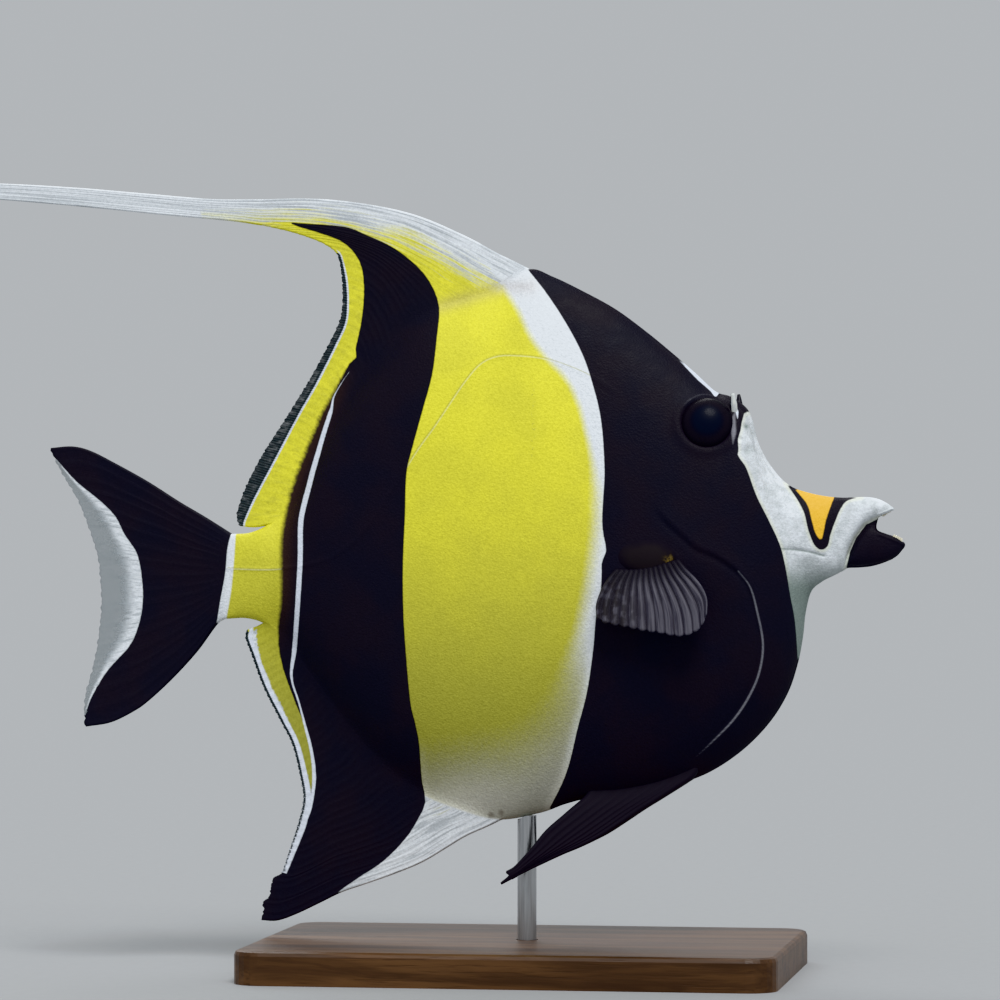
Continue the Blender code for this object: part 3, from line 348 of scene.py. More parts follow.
# Anal fin.
root_ids = body_ids[column[FIN_BACK_ROW] : column[ANAL_FRONT_ROW] + 1, -1][::-1]
margin = curve(ANAL_TRAILING, len(root_ids))
across = np.linspace(0, ANAL_RAYS, len(root_ids))
grow_fin(root_ids, margin, (ANAL_FRONT, ANAL_REAR_EDGE), ANAL_ROWS, across, across + ANAL_FROM, jag=2.0)

# Tail fin.
margin = curve(CAUDAL_TRAILING, down)
across = CAUDAL_RAYS * down
to_caudal = across * CAUDAL_STREAKS + CAUDAL_FROM
grow_fin(body_ids[0], margin, (CAUDAL_TOP, CAUDAL_LOW), CAUDAL_ROWS, across, to_caudal, jag=2.5)

# The lower jaw is a stub of the same skin that grows out below the mouth, with a
# rolled lip along its upper border. Its sections run from the hinge to the tip.
JAW_SECTIONS = [
    ((68.3, 88.9), (68.1, 85.6), 2.6, 1.3, 0.8, 0.5, 2.0, 2.0),
    ((69.9, 91.7), (70.0, 85.5), 2.8, 1.3, 0.8, 0.5, 2.0, 2.0),
    ((72.0, 93.8), (72.2, 85.8), 2.7, 1.2, 0.8, 0.5, 2.0, 2.0),
    ((73.4, 93.3), (73.8, 86.1), 2.5, 1.1, 0.7, 0.45, 2.0, 2.0),
    ((74.9, 92.4), (75.2, 86.5), 2.2, 1.1, 0.6, 0.42, 2.0, 2.0),
    ((76.4, 91.8), (76.8, 87.1), 1.9, 0.9, 0.5, 0.4, 2.0, 2.0),
    ((77.7, 91.2), (78.2, 88.1), 1.4, 0.7, 0.45, 0.4, 2.0, 2.0),
    ((78.7, 90.4), (79.0, 89.2), 0.65, 0.35, 0.3, 0.45, 2.0, 2.0),
]
JAW_LIP_LINE = [(73.3, 94.0), (73.5, 92.9), (75.2, 92.2), (77.3, 91.5), (78.8, 90.5)]
JAW_CHIN_LINE = [(67.4, 85.3), (69.6, 85.4), (72.4, 85.7), (75.2, 86.5), (77.4, 87.6), (78.9, 89.2)]
JAW_TIP = [(78.8, 90.5), (79.05, 89.9), (78.9, 89.2)]
JAW_ROWS = 44
JAW_SWELL = 1.3
LIP_PROUD = 0.3

root_ids = body_ids[column[JAW_BACK_ROW] : column[MOUTH_ROW] + 1, -1][::-1]
root = near.points[root_ids]
front = curve([root[0, ::2], *JAW_LIP_LINE], JAW_ROWS + 1)
rear = curve([root[-1, ::2], *JAW_CHIN_LINE], JAW_ROWS + 1)
grid = patch(root[:, ::2], curve(JAW_TIP, len(root)), front, rear)
jaw = np.array([(*top, *low, *rest) for top, low, *rest in JAW_SECTIONS])
number = np.interp(grid[..., 0].ravel(), (jaw[:, 0] + jaw[:, 2]) / 2, np.arange(len(jaw)))
row = between_rows(jaw, number)
downward = np.clip((row[:, 1] - grid[..., 1].ravel()) / (row[:, 1] - row[:, 3]), 0, 1)
jaw_half = half_width(downward, *row[:, 4:].T).reshape(grid.shape[:2])
away = np.linalg.norm(grid - grid[:1], axis=2)
half = -root[:, 1] + (jaw_half + root[:, 1]) * ramp(away, 0, JAW_SWELL)
under_lip = np.linalg.norm(grid - grid[:, :1], axis=2)
half += LIP_PROUD * bell(under_lip - LIP_ROLL_DROP, 0.45) * ramp(grid[..., 0], 73.2, 74.6)
share_across = np.linspace(0, 1, len(root))[None]
near.sew(
    np.dstack([grid[..., 0], -half, grid[..., 1]]),
    root_ids,
    crown=np.where(share_across < 0.02, MOUTH_CROWN, BODY_CROWN),
)

# Relief of the flank: gill opening and the proud edge of the gill cover, jaw crease,
# lateral line, nostrils, and the bony rim and pit of the eye. The lines are the places
# that the side view shows, so each point is first taken to where that view sees it.
VIEW_YAW = math.radians(9.0)
VIEW_DISTANCE = 1050.0
VIEW_TARGET = (-5.736, 0.0, 99.2)
GILL_OPENING = [
    (26.6, 98.4), (29.6, 94.8), (33.4, 91.4), (36.0, 89.2), (39.9, 87.6), (44.5, 84.4), (47.0, 81.1),
    (48.5, 75.9), (49.7, 69.2), (48.9, 63.2), (46.6, 57.9), (43.3, 53.1), (38.6, 48.3), (35.7, 45.6),
]
JAW_CREASE = [(53.6, 89.1), (58.4, 88.6), (62.4, 87.6)]
LATERAL_LINE = [
    (22.0, 119.0), (17.5, 122.6), (12.9, 125.4), (8.0, 127.5), (3.1, 129.0), (-2.5, 129.6),
    (-6.6, 129.4), (-10.0, 127.8), (-13.2, 124.2), (-16.0, 120.2), (-19.8, 114.6), (-23.4, 109.7),
    (-29.0, 101.0), (-35.0, 92.5), (-42.0, 87.0), (-52.6, 84.7), (-64.0, 84.7),
]
DORSAL_CREASE = [(0.6, 143.9), (-5.1, 143.7), (-10.0, 142.4), (-18.5, 139.9)]
NOSTRILS = [(46.1, 114.7), (45.0, 111.9)]
FACE_BUMPS = [
    ((46.0, 111.2), 0.35, 1.0),
    ((46.2, 109.4), -0.25, 1.1),
    ((45.6, 117.0), 0.3, 1.2),
    ((74.0, 97.6), 0.15, 1.2),
]
GILL_PROUD, GILL_GROOVE, CREASE_DEPTH = 0.35, 0.15, 0.22
LATERAL_PROUD, FOLD_DEPTH = 0.13, 0.08
NOSTRIL_RIM, NOSTRIL_DEPTH = 0.10, 0.35
EYE_CENTRE = (38.7, 6.4, 114.9)
EYE_LOOK = (0.12, 1.0, 0.30)
RIM_RADIUS, RIM_PROUD, RIM_WIDTH = 6.2, 0.30, 1.1
PIT_RADIUS, PIT_FLOOR = 5.65, 0.7


def seen(points):
    """Where near-side points meet the mid plane along the side view's lines of sight."""
    sine, cosine = math.sin(VIEW_YAW), math.cos(VIEW_YAW)
    x, y, z = points[:, 0] - VIEW_TARGET[0], points[:, 1], points[:, 2] - VIEW_TARGET[2]
    depth = VIEW_DISTANCE - x * sine + y * cosine
    ratio = (x * cosine + y * sine) / depth
    flat_x = ratio * VIEW_DISTANCE / (cosine + ratio * sine)
    flat_z = z * (VIEW_DISTANCE - flat_x * sine) / depth
    return np.column_stack([flat_x + VIEW_TARGET[0], flat_z + VIEW_TARGET[2]])


def nearest(line, places):
    """Distance to a line, how far along it the nearest point lies, and on which side."""
    pts = np.asarray(line, float)
    best = np.full(len(places), 1e9)
    where = np.zeros(len(places))
    turn = np.zeros(len(places))
    for k, (a, b) in enumerate(zip(pts[:-1], pts[1:])):
        step = b - a
        off = places - a
        t = np.clip(off @ step / (step @ step), 0, 1)
        gap = np.hypot(off[:, 0] - t * step[0], off[:, 1] - t * step[1])
        closer = gap < best
        best[closer] = gap[closer]
        where[closer] = (k + t[closer]) / (len(pts) - 1)
        turn[closer] = (step[0] * off[:, 1] - step[1] * off[:, 0])[closer]
    return best, where, np.sign(turn)


places = seen(near.points)
proud = np.zeros(len(places))
gap, where, side = nearest(curve(GILL_OPENING, 60), places)
ahead = gap * side
ends = ramp(where, 0.0, 0.08) * ramp(where, 1.0, 0.85)
proud += GILL_PROUD * ramp(ahead, -0.7, 0.4) * np.exp(-np.maximum(ahead, 0) / 4.0) * ends
proud -= GILL_GROOVE * bell(ahead + 0.7, 0.6) * ends
gap, where, _ = nearest(curve(JAW_CREASE, 20), places)
proud -= CREASE_DEPTH * bell(gap, 0.4) * ramp(where, 0, 0.2)
gap, where, _ = nearest(curve(LATERAL_LINE, 60), places)
proud += LATERAL_PROUD * bell(gap, 0.4) * ramp(where, 0, 0.1)
gap, where, _ = nearest(curve(DORSAL_CREASE, 20), places)
proud -= FOLD_DEPTH * bell(gap, 0.9) * ramp(where, 0, 0.1) * ramp(where, 1, 0.8)
for spot in NOSTRILS:
    gap = np.linalg.norm(places - spot, axis=1)
    proud += NOSTRIL_RIM * bell(gap - 0.8, 0.3) - NOSTRIL_DEPTH * bell(gap, 0.45)
for spot, rise, reach in FACE_BUMPS:
    proud += rise * bell(np.linalg.norm(places - spot, axis=1), reach)
near.points[:, 1] -= proud * (1 - near.traits["web"])

look = np.array([EYE_LOOK[0], -EYE_LOOK[1], EYE_LOOK[2]])
look /= np.linalg.norm(look)
from_eye = near.points - np.array([EYE_CENTRE[0], -EYE_CENTRE[1], EYE_CENTRE[2]])
rise = from_eye @ look
from_axis = np.linalg.norm(from_eye - rise[:, None] * look, axis=1)
on_near_head = (near.traits["web"] < 0.5) & (rise > -2)
lift = RIM_PROUD * bell(from_axis - RIM_RADIUS, RIM_WIDTH)
sink = ramp(from_axis, PIT_RADIUS, PIT_RADIUS - 1.0) * (np.minimum(rise, PIT_FLOOR) - rise)
near.points += np.where(on_near_head, lift + sink, 0.0)[:, None] * look

# Markings, all as the side view shows them: black bands, yellow and white fields, the
# orange saddle on the snout and the fine pale lines, and with them painted shade under
# and along the jaw crease, in hollows of the face, in the folds at the fin roots and on the
# lower belly, and a painted highlight on the eye's rim. Each is kept on the skin as the
# distance inside its outline, so that the material can draw a sharp or a soft border.
FRONT_BAND_REAR = [
    (-1.0, 150.5), (-0.2, 148.1), (3.8, 143.0), (8.0, 136.7), (11.7, 129.8), (14.0, 123.1),
    (15.7, 115.7), (16.4, 105.6), (16.1, 99.2), (15.9, 95.0), (16.1, 92.3), (16.5, 90.4), (16.8, 88.8),
    (16.4, 87.5), (15.8, 86.2), (15.8, 83.7), (15.6, 80.2), (14.8, 76.4), (14.4, 72.6), (14.0, 67.8),
    (12.7, 59.0), (10.7, 51.3), (9.1, 44.5), (7.4, 39.7), (4.7, 34.4), (3.0, 31.0),
]
FACE_EDGE = [
    (46.2, 118.6), (45.7, 116.9), (45.3, 115.4), (45.0, 113.6), (44.5, 111.9), (44.6, 109.7),
    (44.5, 108.5), (46.0, 106.3), (46.8, 104.4), (48.4, 100.0), (50.8, 95.2), (53.2, 90.0),
    (54.4, 85.3), (55.4, 79.4), (56.4, 73.8), (57.0, 65.9), (57.3, 61.0),
]
REAR_BAND_FRONT = [
    (-50.5, 157.9), (-47.5, 157.6), (-42.5, 157.3), (-38.0, 156.7), (-34.7, 155.3), (-29.0, 152.7),
    (-24.1, 149.1), (-20.7, 145.1), (-18.7, 139.9), (-19.2, 133.3), (-20.2, 125.5), (-22.4, 117.5),
    (-24.5, 109.9), (-25.7, 104.7), (-26.0, 95.8), (-26.4, 86.6), (-26.4, 78.1), (-26.0, 69.7),
    (-24.9, 57.1), (-24.0, 53.0), (-23.0, 48.2), (-22.4, 40.3), (-21.6, 35.8), (-23.2, 32.0),
    (-25.8, 28.0), (-30.6, 23.1), (-36.7, 19.0), (-40.5, 16.2), (-43.0, 13.0),
]
REAR_BAND_REAR = [
    (-50.5, 157.6), (-49.4, 157.1), (-43.8, 155.4), (-39.5, 153.7), (-36.7, 151.1), (-35.2, 147.9),
    (-34.8, 143.5), (-35.1, 138.6), (-35.8, 134.6), (-36.7, 130.6), (-36.5, 129.2), (-38.0, 127.9),
    (-40.4, 123.7), (-43.8, 117.8), (-45.1, 114.8), (-47.9, 108.3), (-50.5, 101.1), (-52.0, 94.8),
    (-52.6, 90.7), (-52.7, 86.5), (-52.7, 78.1), (-53.3, 72.3), (-53.0, 67.1), (-51.8, 62.4),
    (-49.5, 56.3), (-47.2, 50.8), (-45.9, 46.4), (-45.7, 41.0), (-46.4, 36.4), (-47.5, 31.5),
    (-49.6, 25.8), (-51.9, 20.6), (-54.5, 20.0), (-58.0, 15.0), (-60.0, 8.0),
]
WHITE_LINE = [
    (-37.9, 126.3), (-39.6, 123.9), (-41.3, 120.9), (-41.7, 118.7), (-42.4, 116.4), (-43.6, 112.7),
    (-44.7, 108.9), (-45.8, 105.2), (-46.8, 101.4), (-47.7, 98.0), (-48.4, 94.1), (-48.5, 86.5),
    (-49.0, 77.9), (-49.4, 72.0), (-49.8, 67.1), (-50.4, 62.9), (-50.1, 60.3), (-49.2, 57.7),
    (-48.4, 55.1), (-47.4, 51.3), (-46.4, 47.6), (-45.7, 43.8), (-45.5, 40.1), (-45.8, 37.0),
    (-46.3, 34.0), (-47.4, 30.9),
]
WHITE_LINE_HALF = [
    (0, 0.0), (0.05, 0.07), (0.08, 0.2), (0.1, 0.42), (0.2, 0.52), (0.3, 0.55), (0.5, 0.52),
    (0.62, 0.48), (0.655, 0.34), (0.69, 0.2), (0.75, 0.18), (0.8, 0.28), (0.9, 0.4), (1, 0.2),
]
DORSAL_FINE_LINE = [
    (-40.6, 151.9), (-39.6, 150.6), (-38.5, 145.8), (-38.2, 141.0), (-38.6, 136.6), (-40.6, 132.1),
    (-44.7, 124.1), (-48.7, 117.2), (-54.1, 107.2), (-58.3, 99.4), (-60.4, 94.8), (-60.6, 93.5),
]
NAPE_LINE = [(28.3, 132.1), (31.3, 129.5), (34.5, 126.2), (36.5, 124.2), (38.8, 122.25), (39.8, 121.2)]
NAPE_LINE_HALF = [(0, 0.0), (0.15, 0.16), (0.5, 0.22), (0.85, 0.26), (0.93, 0.3), (1, 0.4)]
HORN_STRIPE = [(44.1, 118.4), (44.3, 117.4), (44.4, 116.2)]
HORN_STRIPE_HALF = [(0, 0.15), (0.4, 0.3), (1, 0.05)]
HORN_ROOT = [(43.9, 117.3), (43.6, 116.3), (43.5, 115.0), (43.6, 113.2), (43.4, 110.7)]
HORN_ROOT_HALF = [(0, 0.25), (0.3, 0.6), (0.6, 0.62), (1, 0.1)]
# Painted highlight on the upper arc of the eye's bony rim.
BROW_HIGHLIGHT = [(32.5, 117.2), (33.2, 119.0), (34.6, 120.3), (36.8, 121.2), (39.6, 121.0)]
SPECKS = [(0.4, 127.0), (1.2, 121.0), (1.4, 115.0), (1.0, 107.5)]
# Painted shade in small hollows around the nostrils and near the tip of the upper jaw: place, reach and
# strength.
SHADE_PATCHES = [
    ((46.2, 114.5), 0.5, 1.0),
    ((46.3, 109.3), 1.1, 0.5),
    ((47.4, 113.2), 0.9, 0.3),
    ((74.6, 97.2), 0.9, 0.1),
]
VENT_SPOTS = [((-7.6, 33.0), 0.6), ((-5.5, 33.6), 0.5)]
# Painted shade in the fold at the anal fin's root.
ROOT_CREASE = [(-21.3, 33.9), (-19.4, 34.7), (-17.5, 35.9)]
BELLY_CREAM_SPOT, BELLY_CREAM_REACH = (-14.0, 36.5), 6.5
GILL_LINE = GILL_OPENING[5:]
BELLY_LINE = [(15.8, 50.7), (14.2, 45.6), (11.0, 40.6), (9.3, 37.5), (7.2, 35.1)]
TAIL_BASE = [
    (-63.0, 93.2), (-63.4, 92.1), (-64.2, 88.9), (-64.7, 83.6), (-65.8, 77.6), (-66.5, 73.3), (-67.2, 71.0),
]
TAIL_WHITE = [
    (-104.0, 110.4), (-102.1, 108.6), (-97.1, 103.2), (-92.1, 99.2), (-88.6, 95.8), (-86.6, 92.0),
    (-83.8, 87.7), (-82.7, 82.0), (-82.6, 77.1), (-83.6, 72.2), (-85.6, 68.0), (-90.1, 63.1),
    (-93.6, 57.5), (-95.3, 53.0),
]
PEDUNCLE_EDGE = [(-62.3, 94.0), (-62.4, 92.0), (-62.8, 85.9), (-63.4, 79.9), (-64.4, 74.2), (-64.6, 72.6)]
YELLOW_TOP = [
    (-75.0, 157.0), (-56.1, 158.6), (-48.5, 158.6), (-42.1, 158.2), (-33.1, 155.9), (-24.9, 154.0),
    (-16.6, 149.5), (-10.6, 146.5), (-5.7, 144.3),
]
YELLOW_FRONT = [
    (-5.1, 143.9), (-1.7, 138.7), (0.6, 133.8), (3.8, 129.4), (8.3, 124.6), (10.8, 119.7),
    (12.4, 113.9), (14.2, 105.5), (14.8, 95.0), (13.3, 82.4), (10.8, 69.9), (7.0, 57.3), (-1.5, 49.3),
    (-12.1, 46.7), (-22.8, 44.5), (-30.0, 43.0),
]
ANAL_YELLOW_LEFT = [
    (-57.9, 71.8), (-57.8, 69.3), (-57.2, 66.3), (-56.5, 64.0), (-55.5, 61.8), (-54.2, 58.8),
    (-52.2, 55.0), (-50.5, 51.3), (-49.0, 47.5), (-47.8, 43.8), (-46.8, 40.4), (-46.3, 36.9),
]
ANAL_HAIR_WIDTH = [(0, 0.15), (0.2, 0.28), (1, 0.35)]
ANAL_WHITE_WIDTH = [(0, 0.6), (0.2, 1.2), (0.36, 1.0), (0.6, 0.8), (1, 0.8)]
SADDLE = [
    (56.1, 101.8), (57.6, 100.1), (59.1, 98.0), (59.9, 95.0), (60.5, 92.8), (61.3, 91.3), (61.9, 91.1),
    (62.3, 92.3), (62.8, 94.8), (63.6, 97.3), (64.7, 100.1),
]
SADDLE_BORDER = [
    (54.5, 102.7), (56.8, 99.4), (58.3, 96.5), (59.1, 93.2), (60.2, 90.3), (61.2, 89.1), (62.3, 88.9),
    (63.3, 89.8), (63.8, 92.0), (64.8, 94.8), (66.0, 97.5), (67.4, 99.1), (70.2, 99.8),
]
ABOVE_SNOUT = [(70.0, 104.0), (54.0, 105.0)]
JAW_BLACK = [
    (74.6, 95.2), (73.9, 95.4), (71.2, 94.1), (69.1, 91.3), (67.9, 88.6), (67.2, 85.4), (66.4, 83.0),
    (84.0, 80.0), (84.0, 91.0), (76.4, 93.2),
]
SHARP, SOFT = 0.13, 0.6
NOWHERE = -4


def depth_in(outline, places):
    """Distance to a closed outline, positive inside it."""
    pts = np.vstack([outline, outline[:1]])
    inside = np.zeros(len(places), bool)
    x, z = places.T
    for (ax, az), (bx, bz) in zip(pts[:-1], pts[1:]):
        if az != bz:
            inside ^= ((az > z) != (bz > z)) & (x < (bx - ax) * (z - az) / (bz - az) + ax)
    return nearest(pts, places)[0] * np.where(inside, 1, -1)


def between(first, second, *corners):
    """An outline that runs down one smooth line and back up another."""
    return np.vstack([curve(first, 90), *(np.atleast_2d(c) for c in corners), curve(second, 90)[::-1]])


def stroke(line, halves, softness):
    """How far inside a drawn line of changing width each place lies."""
    gap, where, _ = nearest(curve(line, 90), places)
    return (np.interp(where, *np.transpose(halves)) - gap) / softness


places = seen(near.points)
rear_line = nearest(curve(REAR_BAND_REAR, 120), places)[0]
on_rear_strip = ramp(places[:, 1], 62.0, 84.0) * ramp(places[:, 1], 130.0, 118.0)
rear_softness = SHARP + SOFT * bell(rear_line, 1.5) * on_rear_strip
front_outline = between(FRONT_BAND_REAR, FACE_EDGE, (3.0, 10.0), (70.0, 10.0), (70.0, 61.0))
front_outline = np.vstack([front_outline, (50.0, 130.0), (10.0, 160.0)])
tail_outline = between(TAIL_BASE, TAIL_WHITE, (-67.0, 45.0), (-96.0, 45.0))
tail_outline = np.vstack([tail_outline, (-104.0, 118.0), (-66.0, 118.0)])
saddle_outline = np.vstack([curve(SADDLE, 60), ABOVE_SNOUT])
border_outline = np.vstack([curve(SADDLE_BORDER, 60), ABOVE_SNOUT])
blacks = [
    depth_in(front_outline, places) / SHARP,
    depth_in(between(REAR_BAND_FRONT, REAR_BAND_REAR, (-50.0, 5.0)), places) / rear_softness,
    depth_in(tail_outline, places) / SHARP,
    depth_in(border_outline, places) / SHARP,
    depth_in(np.array(JAW_BLACK), places) / SHARP,
]

gap, where, side = nearest(curve(YELLOW_FRONT, 90), places)
field_softness = 1.1 + 1.2 * ramp(places[:, 1], 112.0, 96.0) + 7.0 * ramp(places[:, 1], 74.0, 48.0)
top_gap, _, top_side = nearest(curve(YELLOW_TOP, 60), places)
low_spread = 0.4 * ramp(places[:, 1], 74.0, 52.0) * (1 - near.traits["web"])
main_yellow = np.minimum(low_spread - gap * side / field_softness, -top_gap * top_side / 2.6)
behind = (places[:, 0] < -70) | ((places[:, 0] < -33) & (places[:, 1] < 150))
main_yellow = np.where(behind, NOWHERE, main_yellow)
rear_outline = np.vstack(
    [
        curve(REAR_BAND_REAR, 160)[:124] + (1.5, 0),
        curve(ANAL_YELLOW_LEFT, 40)[::-1],
        [(-62.0, 68.5), (-65.0, 71.0)],
        curve(PEDUNCLE_EDGE, 40)[::-1],
        curve(DORSAL_FINE_LINE, 60)[::-1],
        [(-44.4, 154.9), (-50.3, 156.7), (-57.0, 158.6)],
    ]
)
rear_yellow = depth_in(rear_outline, places) / 0.2

fine = [
    stroke(WHITE_LINE, WHITE_LINE_HALF, 0.13),
    stroke(DORSAL_FINE_LINE, [(0, 0.1), (0.1, 0.2), (1, 0.2)], 0.12),
    stroke(NAPE_LINE, NAPE_LINE_HALF, 0.12),
    stroke(HORN_STRIPE, HORN_STRIPE_HALF, 0.14),
]
anal = (near.traits["across"] > ANAL_FROM - 1) & (near.traits["across"] < CAUDAL_FROM - 1)
gap, where, _ = nearest(curve(ANAL_TRAILING[6:], 120), places)
hair = np.interp(where, *np.transpose(ANAL_HAIR_WIDTH))
core = np.interp(where, *np.transpose(ANAL_WHITE_WIDTH))
hair_depth = np.where(anal & (where > 0) & (where < 1), hair - gap, NOWHERE)
core_depth = np.minimum(gap - hair + 0.05, hair + core - gap) / 0.15
fine.append(np.where(anal & (where > 0), core_depth, NOWHERE))
dim = [
    stroke(GILL_LINE, [(0, 0.1), (0.2, 0.2), (0.7, 0.22), (0.9, 0.14), (1, 0.0)], 0.2),
    stroke(BELLY_LINE, [(0, 0.0), (0.5, 0.1), (1, 0.05)], 0.2) - 0.8,
    stroke(HORN_ROOT, HORN_ROOT_HALF, 0.3) - 0.4,
    # The brow stroke is a painted highlight on the eye's rim; the others are faint lines of the skin.
    stroke(BROW_HIGHLIGHT, [(0, 0.0), (0.35, 0.25), (0.7, 0.2), (1, 0.1)], 0.3) - 0.75,
]
# Painted shade in the fold at the anal fin's root, and dark specks at the vent.
root_shade_and_specks = [stroke(ROOT_CREASE, [(0, 0.05), (0.6, 0.14), (1, 0.0)], 0.2)]
root_shade_and_specks += [(reach - np.linalg.norm(places - spot, axis=1)) / 0.5 for spot, reach in VENT_SPOTS]
fin_margin = nearest(curve(DORSAL_FINE_LINE, 90), places)
smoke = np.where(near.traits["web"] > 0.5, -fin_margin[0] * fin_margin[2], NOWHERE)
on_dorsal_margin = (places[:, 1] < 151.5) & (near.traits["across"] < ANAL_FROM - 1) & (places[:, 1] > 92)
smoke = np.where(on_dorsal_margin, smoke, hair_depth)
white_gap, _, white_side = nearest(curve(TAIL_WHITE, 90), places)
beyond_black = np.where(near.traits["across"] > CAUDAL_FROM - 1, -white_gap * white_side, 0)
to_edge, _, _ = nearest(curve(CAUDAL_TRAILING, 60), places)
tail_clear = np.clip(beyond_black / (beyond_black + to_edge + 1e-3), 0, 1) * (beyond_black > 0)
margin_clear = 0.36 * ramp(smoke, 0.2, 0.9)
# Painted shade below the jaw crease, where the head curves under.
shade_below_crease = ramp(places[:, 1], 88.6, 80.0) * ramp(places[:, 0], 50.0, 53.0)
# Painted shade on the lower belly: the white greys towards the bottom, less at a cream spot by the anal fin
# and next to the band borders.
belly_shade_mask = ramp(places[:, 1], 78.0, 50.0) * (1 - near.traits["web"])
belly_shade_mask *= 1 - bell(np.linalg.norm((places - BELLY_CREAM_SPOT) / (1.6, 1), axis=1), BELLY_CREAM_REACH)
for border in (FRONT_BAND_REAR, REAR_BAND_FRONT):
    belly_shade_mask *= 1 - 0.8 * bell(nearest(curve(border, 90), places)[0], 1.3)
shade_patches = [s * bell(np.linalg.norm(places - spot, axis=1), r) for spot, r, s in SHADE_PATCHES]
lateral, where, side = nearest(curve(LATERAL_LINE, 90), places)
markings = {
    "black": np.max(blacks, axis=0),
    "yellow": np.maximum(main_yellow, rear_yellow),
    "saddle": depth_in(saddle_outline, places) / 0.16,
    "fine": np.max(fine, axis=0),
    "dim": np.max(dim, axis=0),
    "smoke": smoke / 0.2,
    "clear": np.maximum(tail_clear, margin_clear),
    "dull": np.max([shade_below_crease, *shade_patches], axis=0),
    "belly": belly_shade_mask,
    "stain": np.max(root_shade_and_specks, axis=0),
    "brown": bell(rear_line, 2.4) * on_rear_strip,
    "speck": bell(nearest(curve(SPECKS, 30), places)[0], 0.45),
    "lateral": lateral * side,
    "near_lateral": bell(lateral, 1.2) * ramp(where, 0.0, 0.03) * (1 - near.traits["web"]),
    "crease": nearest(curve(JAW_CREASE, 20), places)[0],
    # Painted shade in the fold at the dorsal fin's base.
    "fold": bell(nearest(curve(DORSAL_CREASE, 20), places)[0], 1.6),
}


def added(name, data):
    """Adds an object to the scene that shows this mesh, camera or light."""
    made = bpy.data.objects.new(name, data)
    bpy.context.scene.collection.objects.link(made)
    return made


def keep_trait(mesh, name, values):
    """Keeps a value at each point of a mesh, for its material to read."""
    kept = mesh.attributes.new(name, "FLOAT", "POINT")
    kept.data.foreach_set("value", np.asarray(values, np.float32))


def sewn(name, near_points, far_points, quads, crown, traits):
    """Joins two like sheets of quads round their edge into one closed mesh."""
    edges = np.vstack([quads[:, [n, (n + 1) % 4]] for n in range(4)])
    keys = edges.min(axis=1) * len(near_points) + edges.max(axis=1)
    _, first, uses = np.unique(keys, return_index=True, return_counts=True)
    rim = edges[first[uses == 1]]
    after = dict(rim.tolist())
    before = {b: a for a, b in after.items()}
    ring = list(after)
    middle = (near_points + far_points) / 2
    step = np.array([middle[after[k]] - middle[before.get(k, k)] for k in ring])[:, ::2]
    outward = np.column_stack([step[:, 1], 0 * step[:, 0], -step[:, 0]])
    outward /= np.maximum(np.linalg.norm(outward, axis=1), 1e-9)[:, None]
    reach = (near_points - middle)[ring]
    size = np.linalg.norm(reach, axis=1)[:, None] * crown[ring][:, None]
    total = 2 * len(near_points)
    turns = [math.pi * n / 4 for n in (1, 2, 3)]
    between_sheets = [middle[ring] + reach * math.cos(t) + outward * size * math.sin(t) for t in turns]
    slot = {k: n for n, k in enumerate(ring)}
    count = len(ring)
    faces = [quads, quads[:, ::-1] + len(near_points)]
    starts = np.array([slot[a] for a, b in rim.tolist()])
    ends = np.array([slot[b] for a, b in rim.tolist()])
    layers_start = [rim[:, 0], *(total + n * count + starts for n in range(3)), rim[:, 0] + len(near_points)]
    layers_end = [rim[:, 1], *(total + n * count + ends for n in range(3)), rim[:, 1] + len(near_points)]
    for n in range(4):
        faces.append(np.stack([layers_end[n], layers_start[n], layers_start[n + 1], layers_end[n + 1]], -1))
    mesh = bpy.data.meshes.new(name)
    points = np.vstack([near_points, far_points, *between_sheets]) * MM
    mesh.from_pydata(points.tolist(), [], np.vstack(faces).tolist())
    for trait, values in traits.items():
        keep_trait(mesh, trait, np.concatenate([values, values, *[values[ring]] * 3]))
    lining = np.zeros(len(points))
    lining[total:] = np.tile(crown[ring] < 0, 3)
    keep_trait(mesh, "lining", lining)
    mesh.shade_smooth()
    return added(name, mesh)


mirror = np.array([1, -1, 1])
fin_traits = ("across", "along", "ray", "jag", "web")
traits = {**markings, **{name: near.traits[name] for name in fin_traits}}
skin = sewn("skin", near.points, near.points * mirror, near.quads, near.traits["crown"], traits)


class Wire:
    """A shader value. Sums, products and other expressions of wires add Math nodes."""

    def __init__(self, finish, socket):
        self.finish = finish
        self.socket = socket

    def math(self, operation, *others):
        inputs = dict(enumerate([self, *others]))
        return self.finish.node("Math", {"operation": operation}, inputs)

    def __add__(self, other):
        return self.math("ADD", other)

    __radd__ = __add__

    def __mul__(self, other):
        return self.math("MULTIPLY", other)

    __rmul__ = __mul__

    def __sub__(self, other):
        return self.math("SUBTRACT", other)

    def __rsub__(self, other):
        return (self * -1.0).math("ADD", other)

    def over(self, start, end):
        """0 at start and 1 at end, with soft ends."""
        inputs = {"Value": self, "From Min": start, "From Max": end}
        return self.finish.node("MapRange", {"interpolation_type": "SMOOTHSTEP"}, inputs)


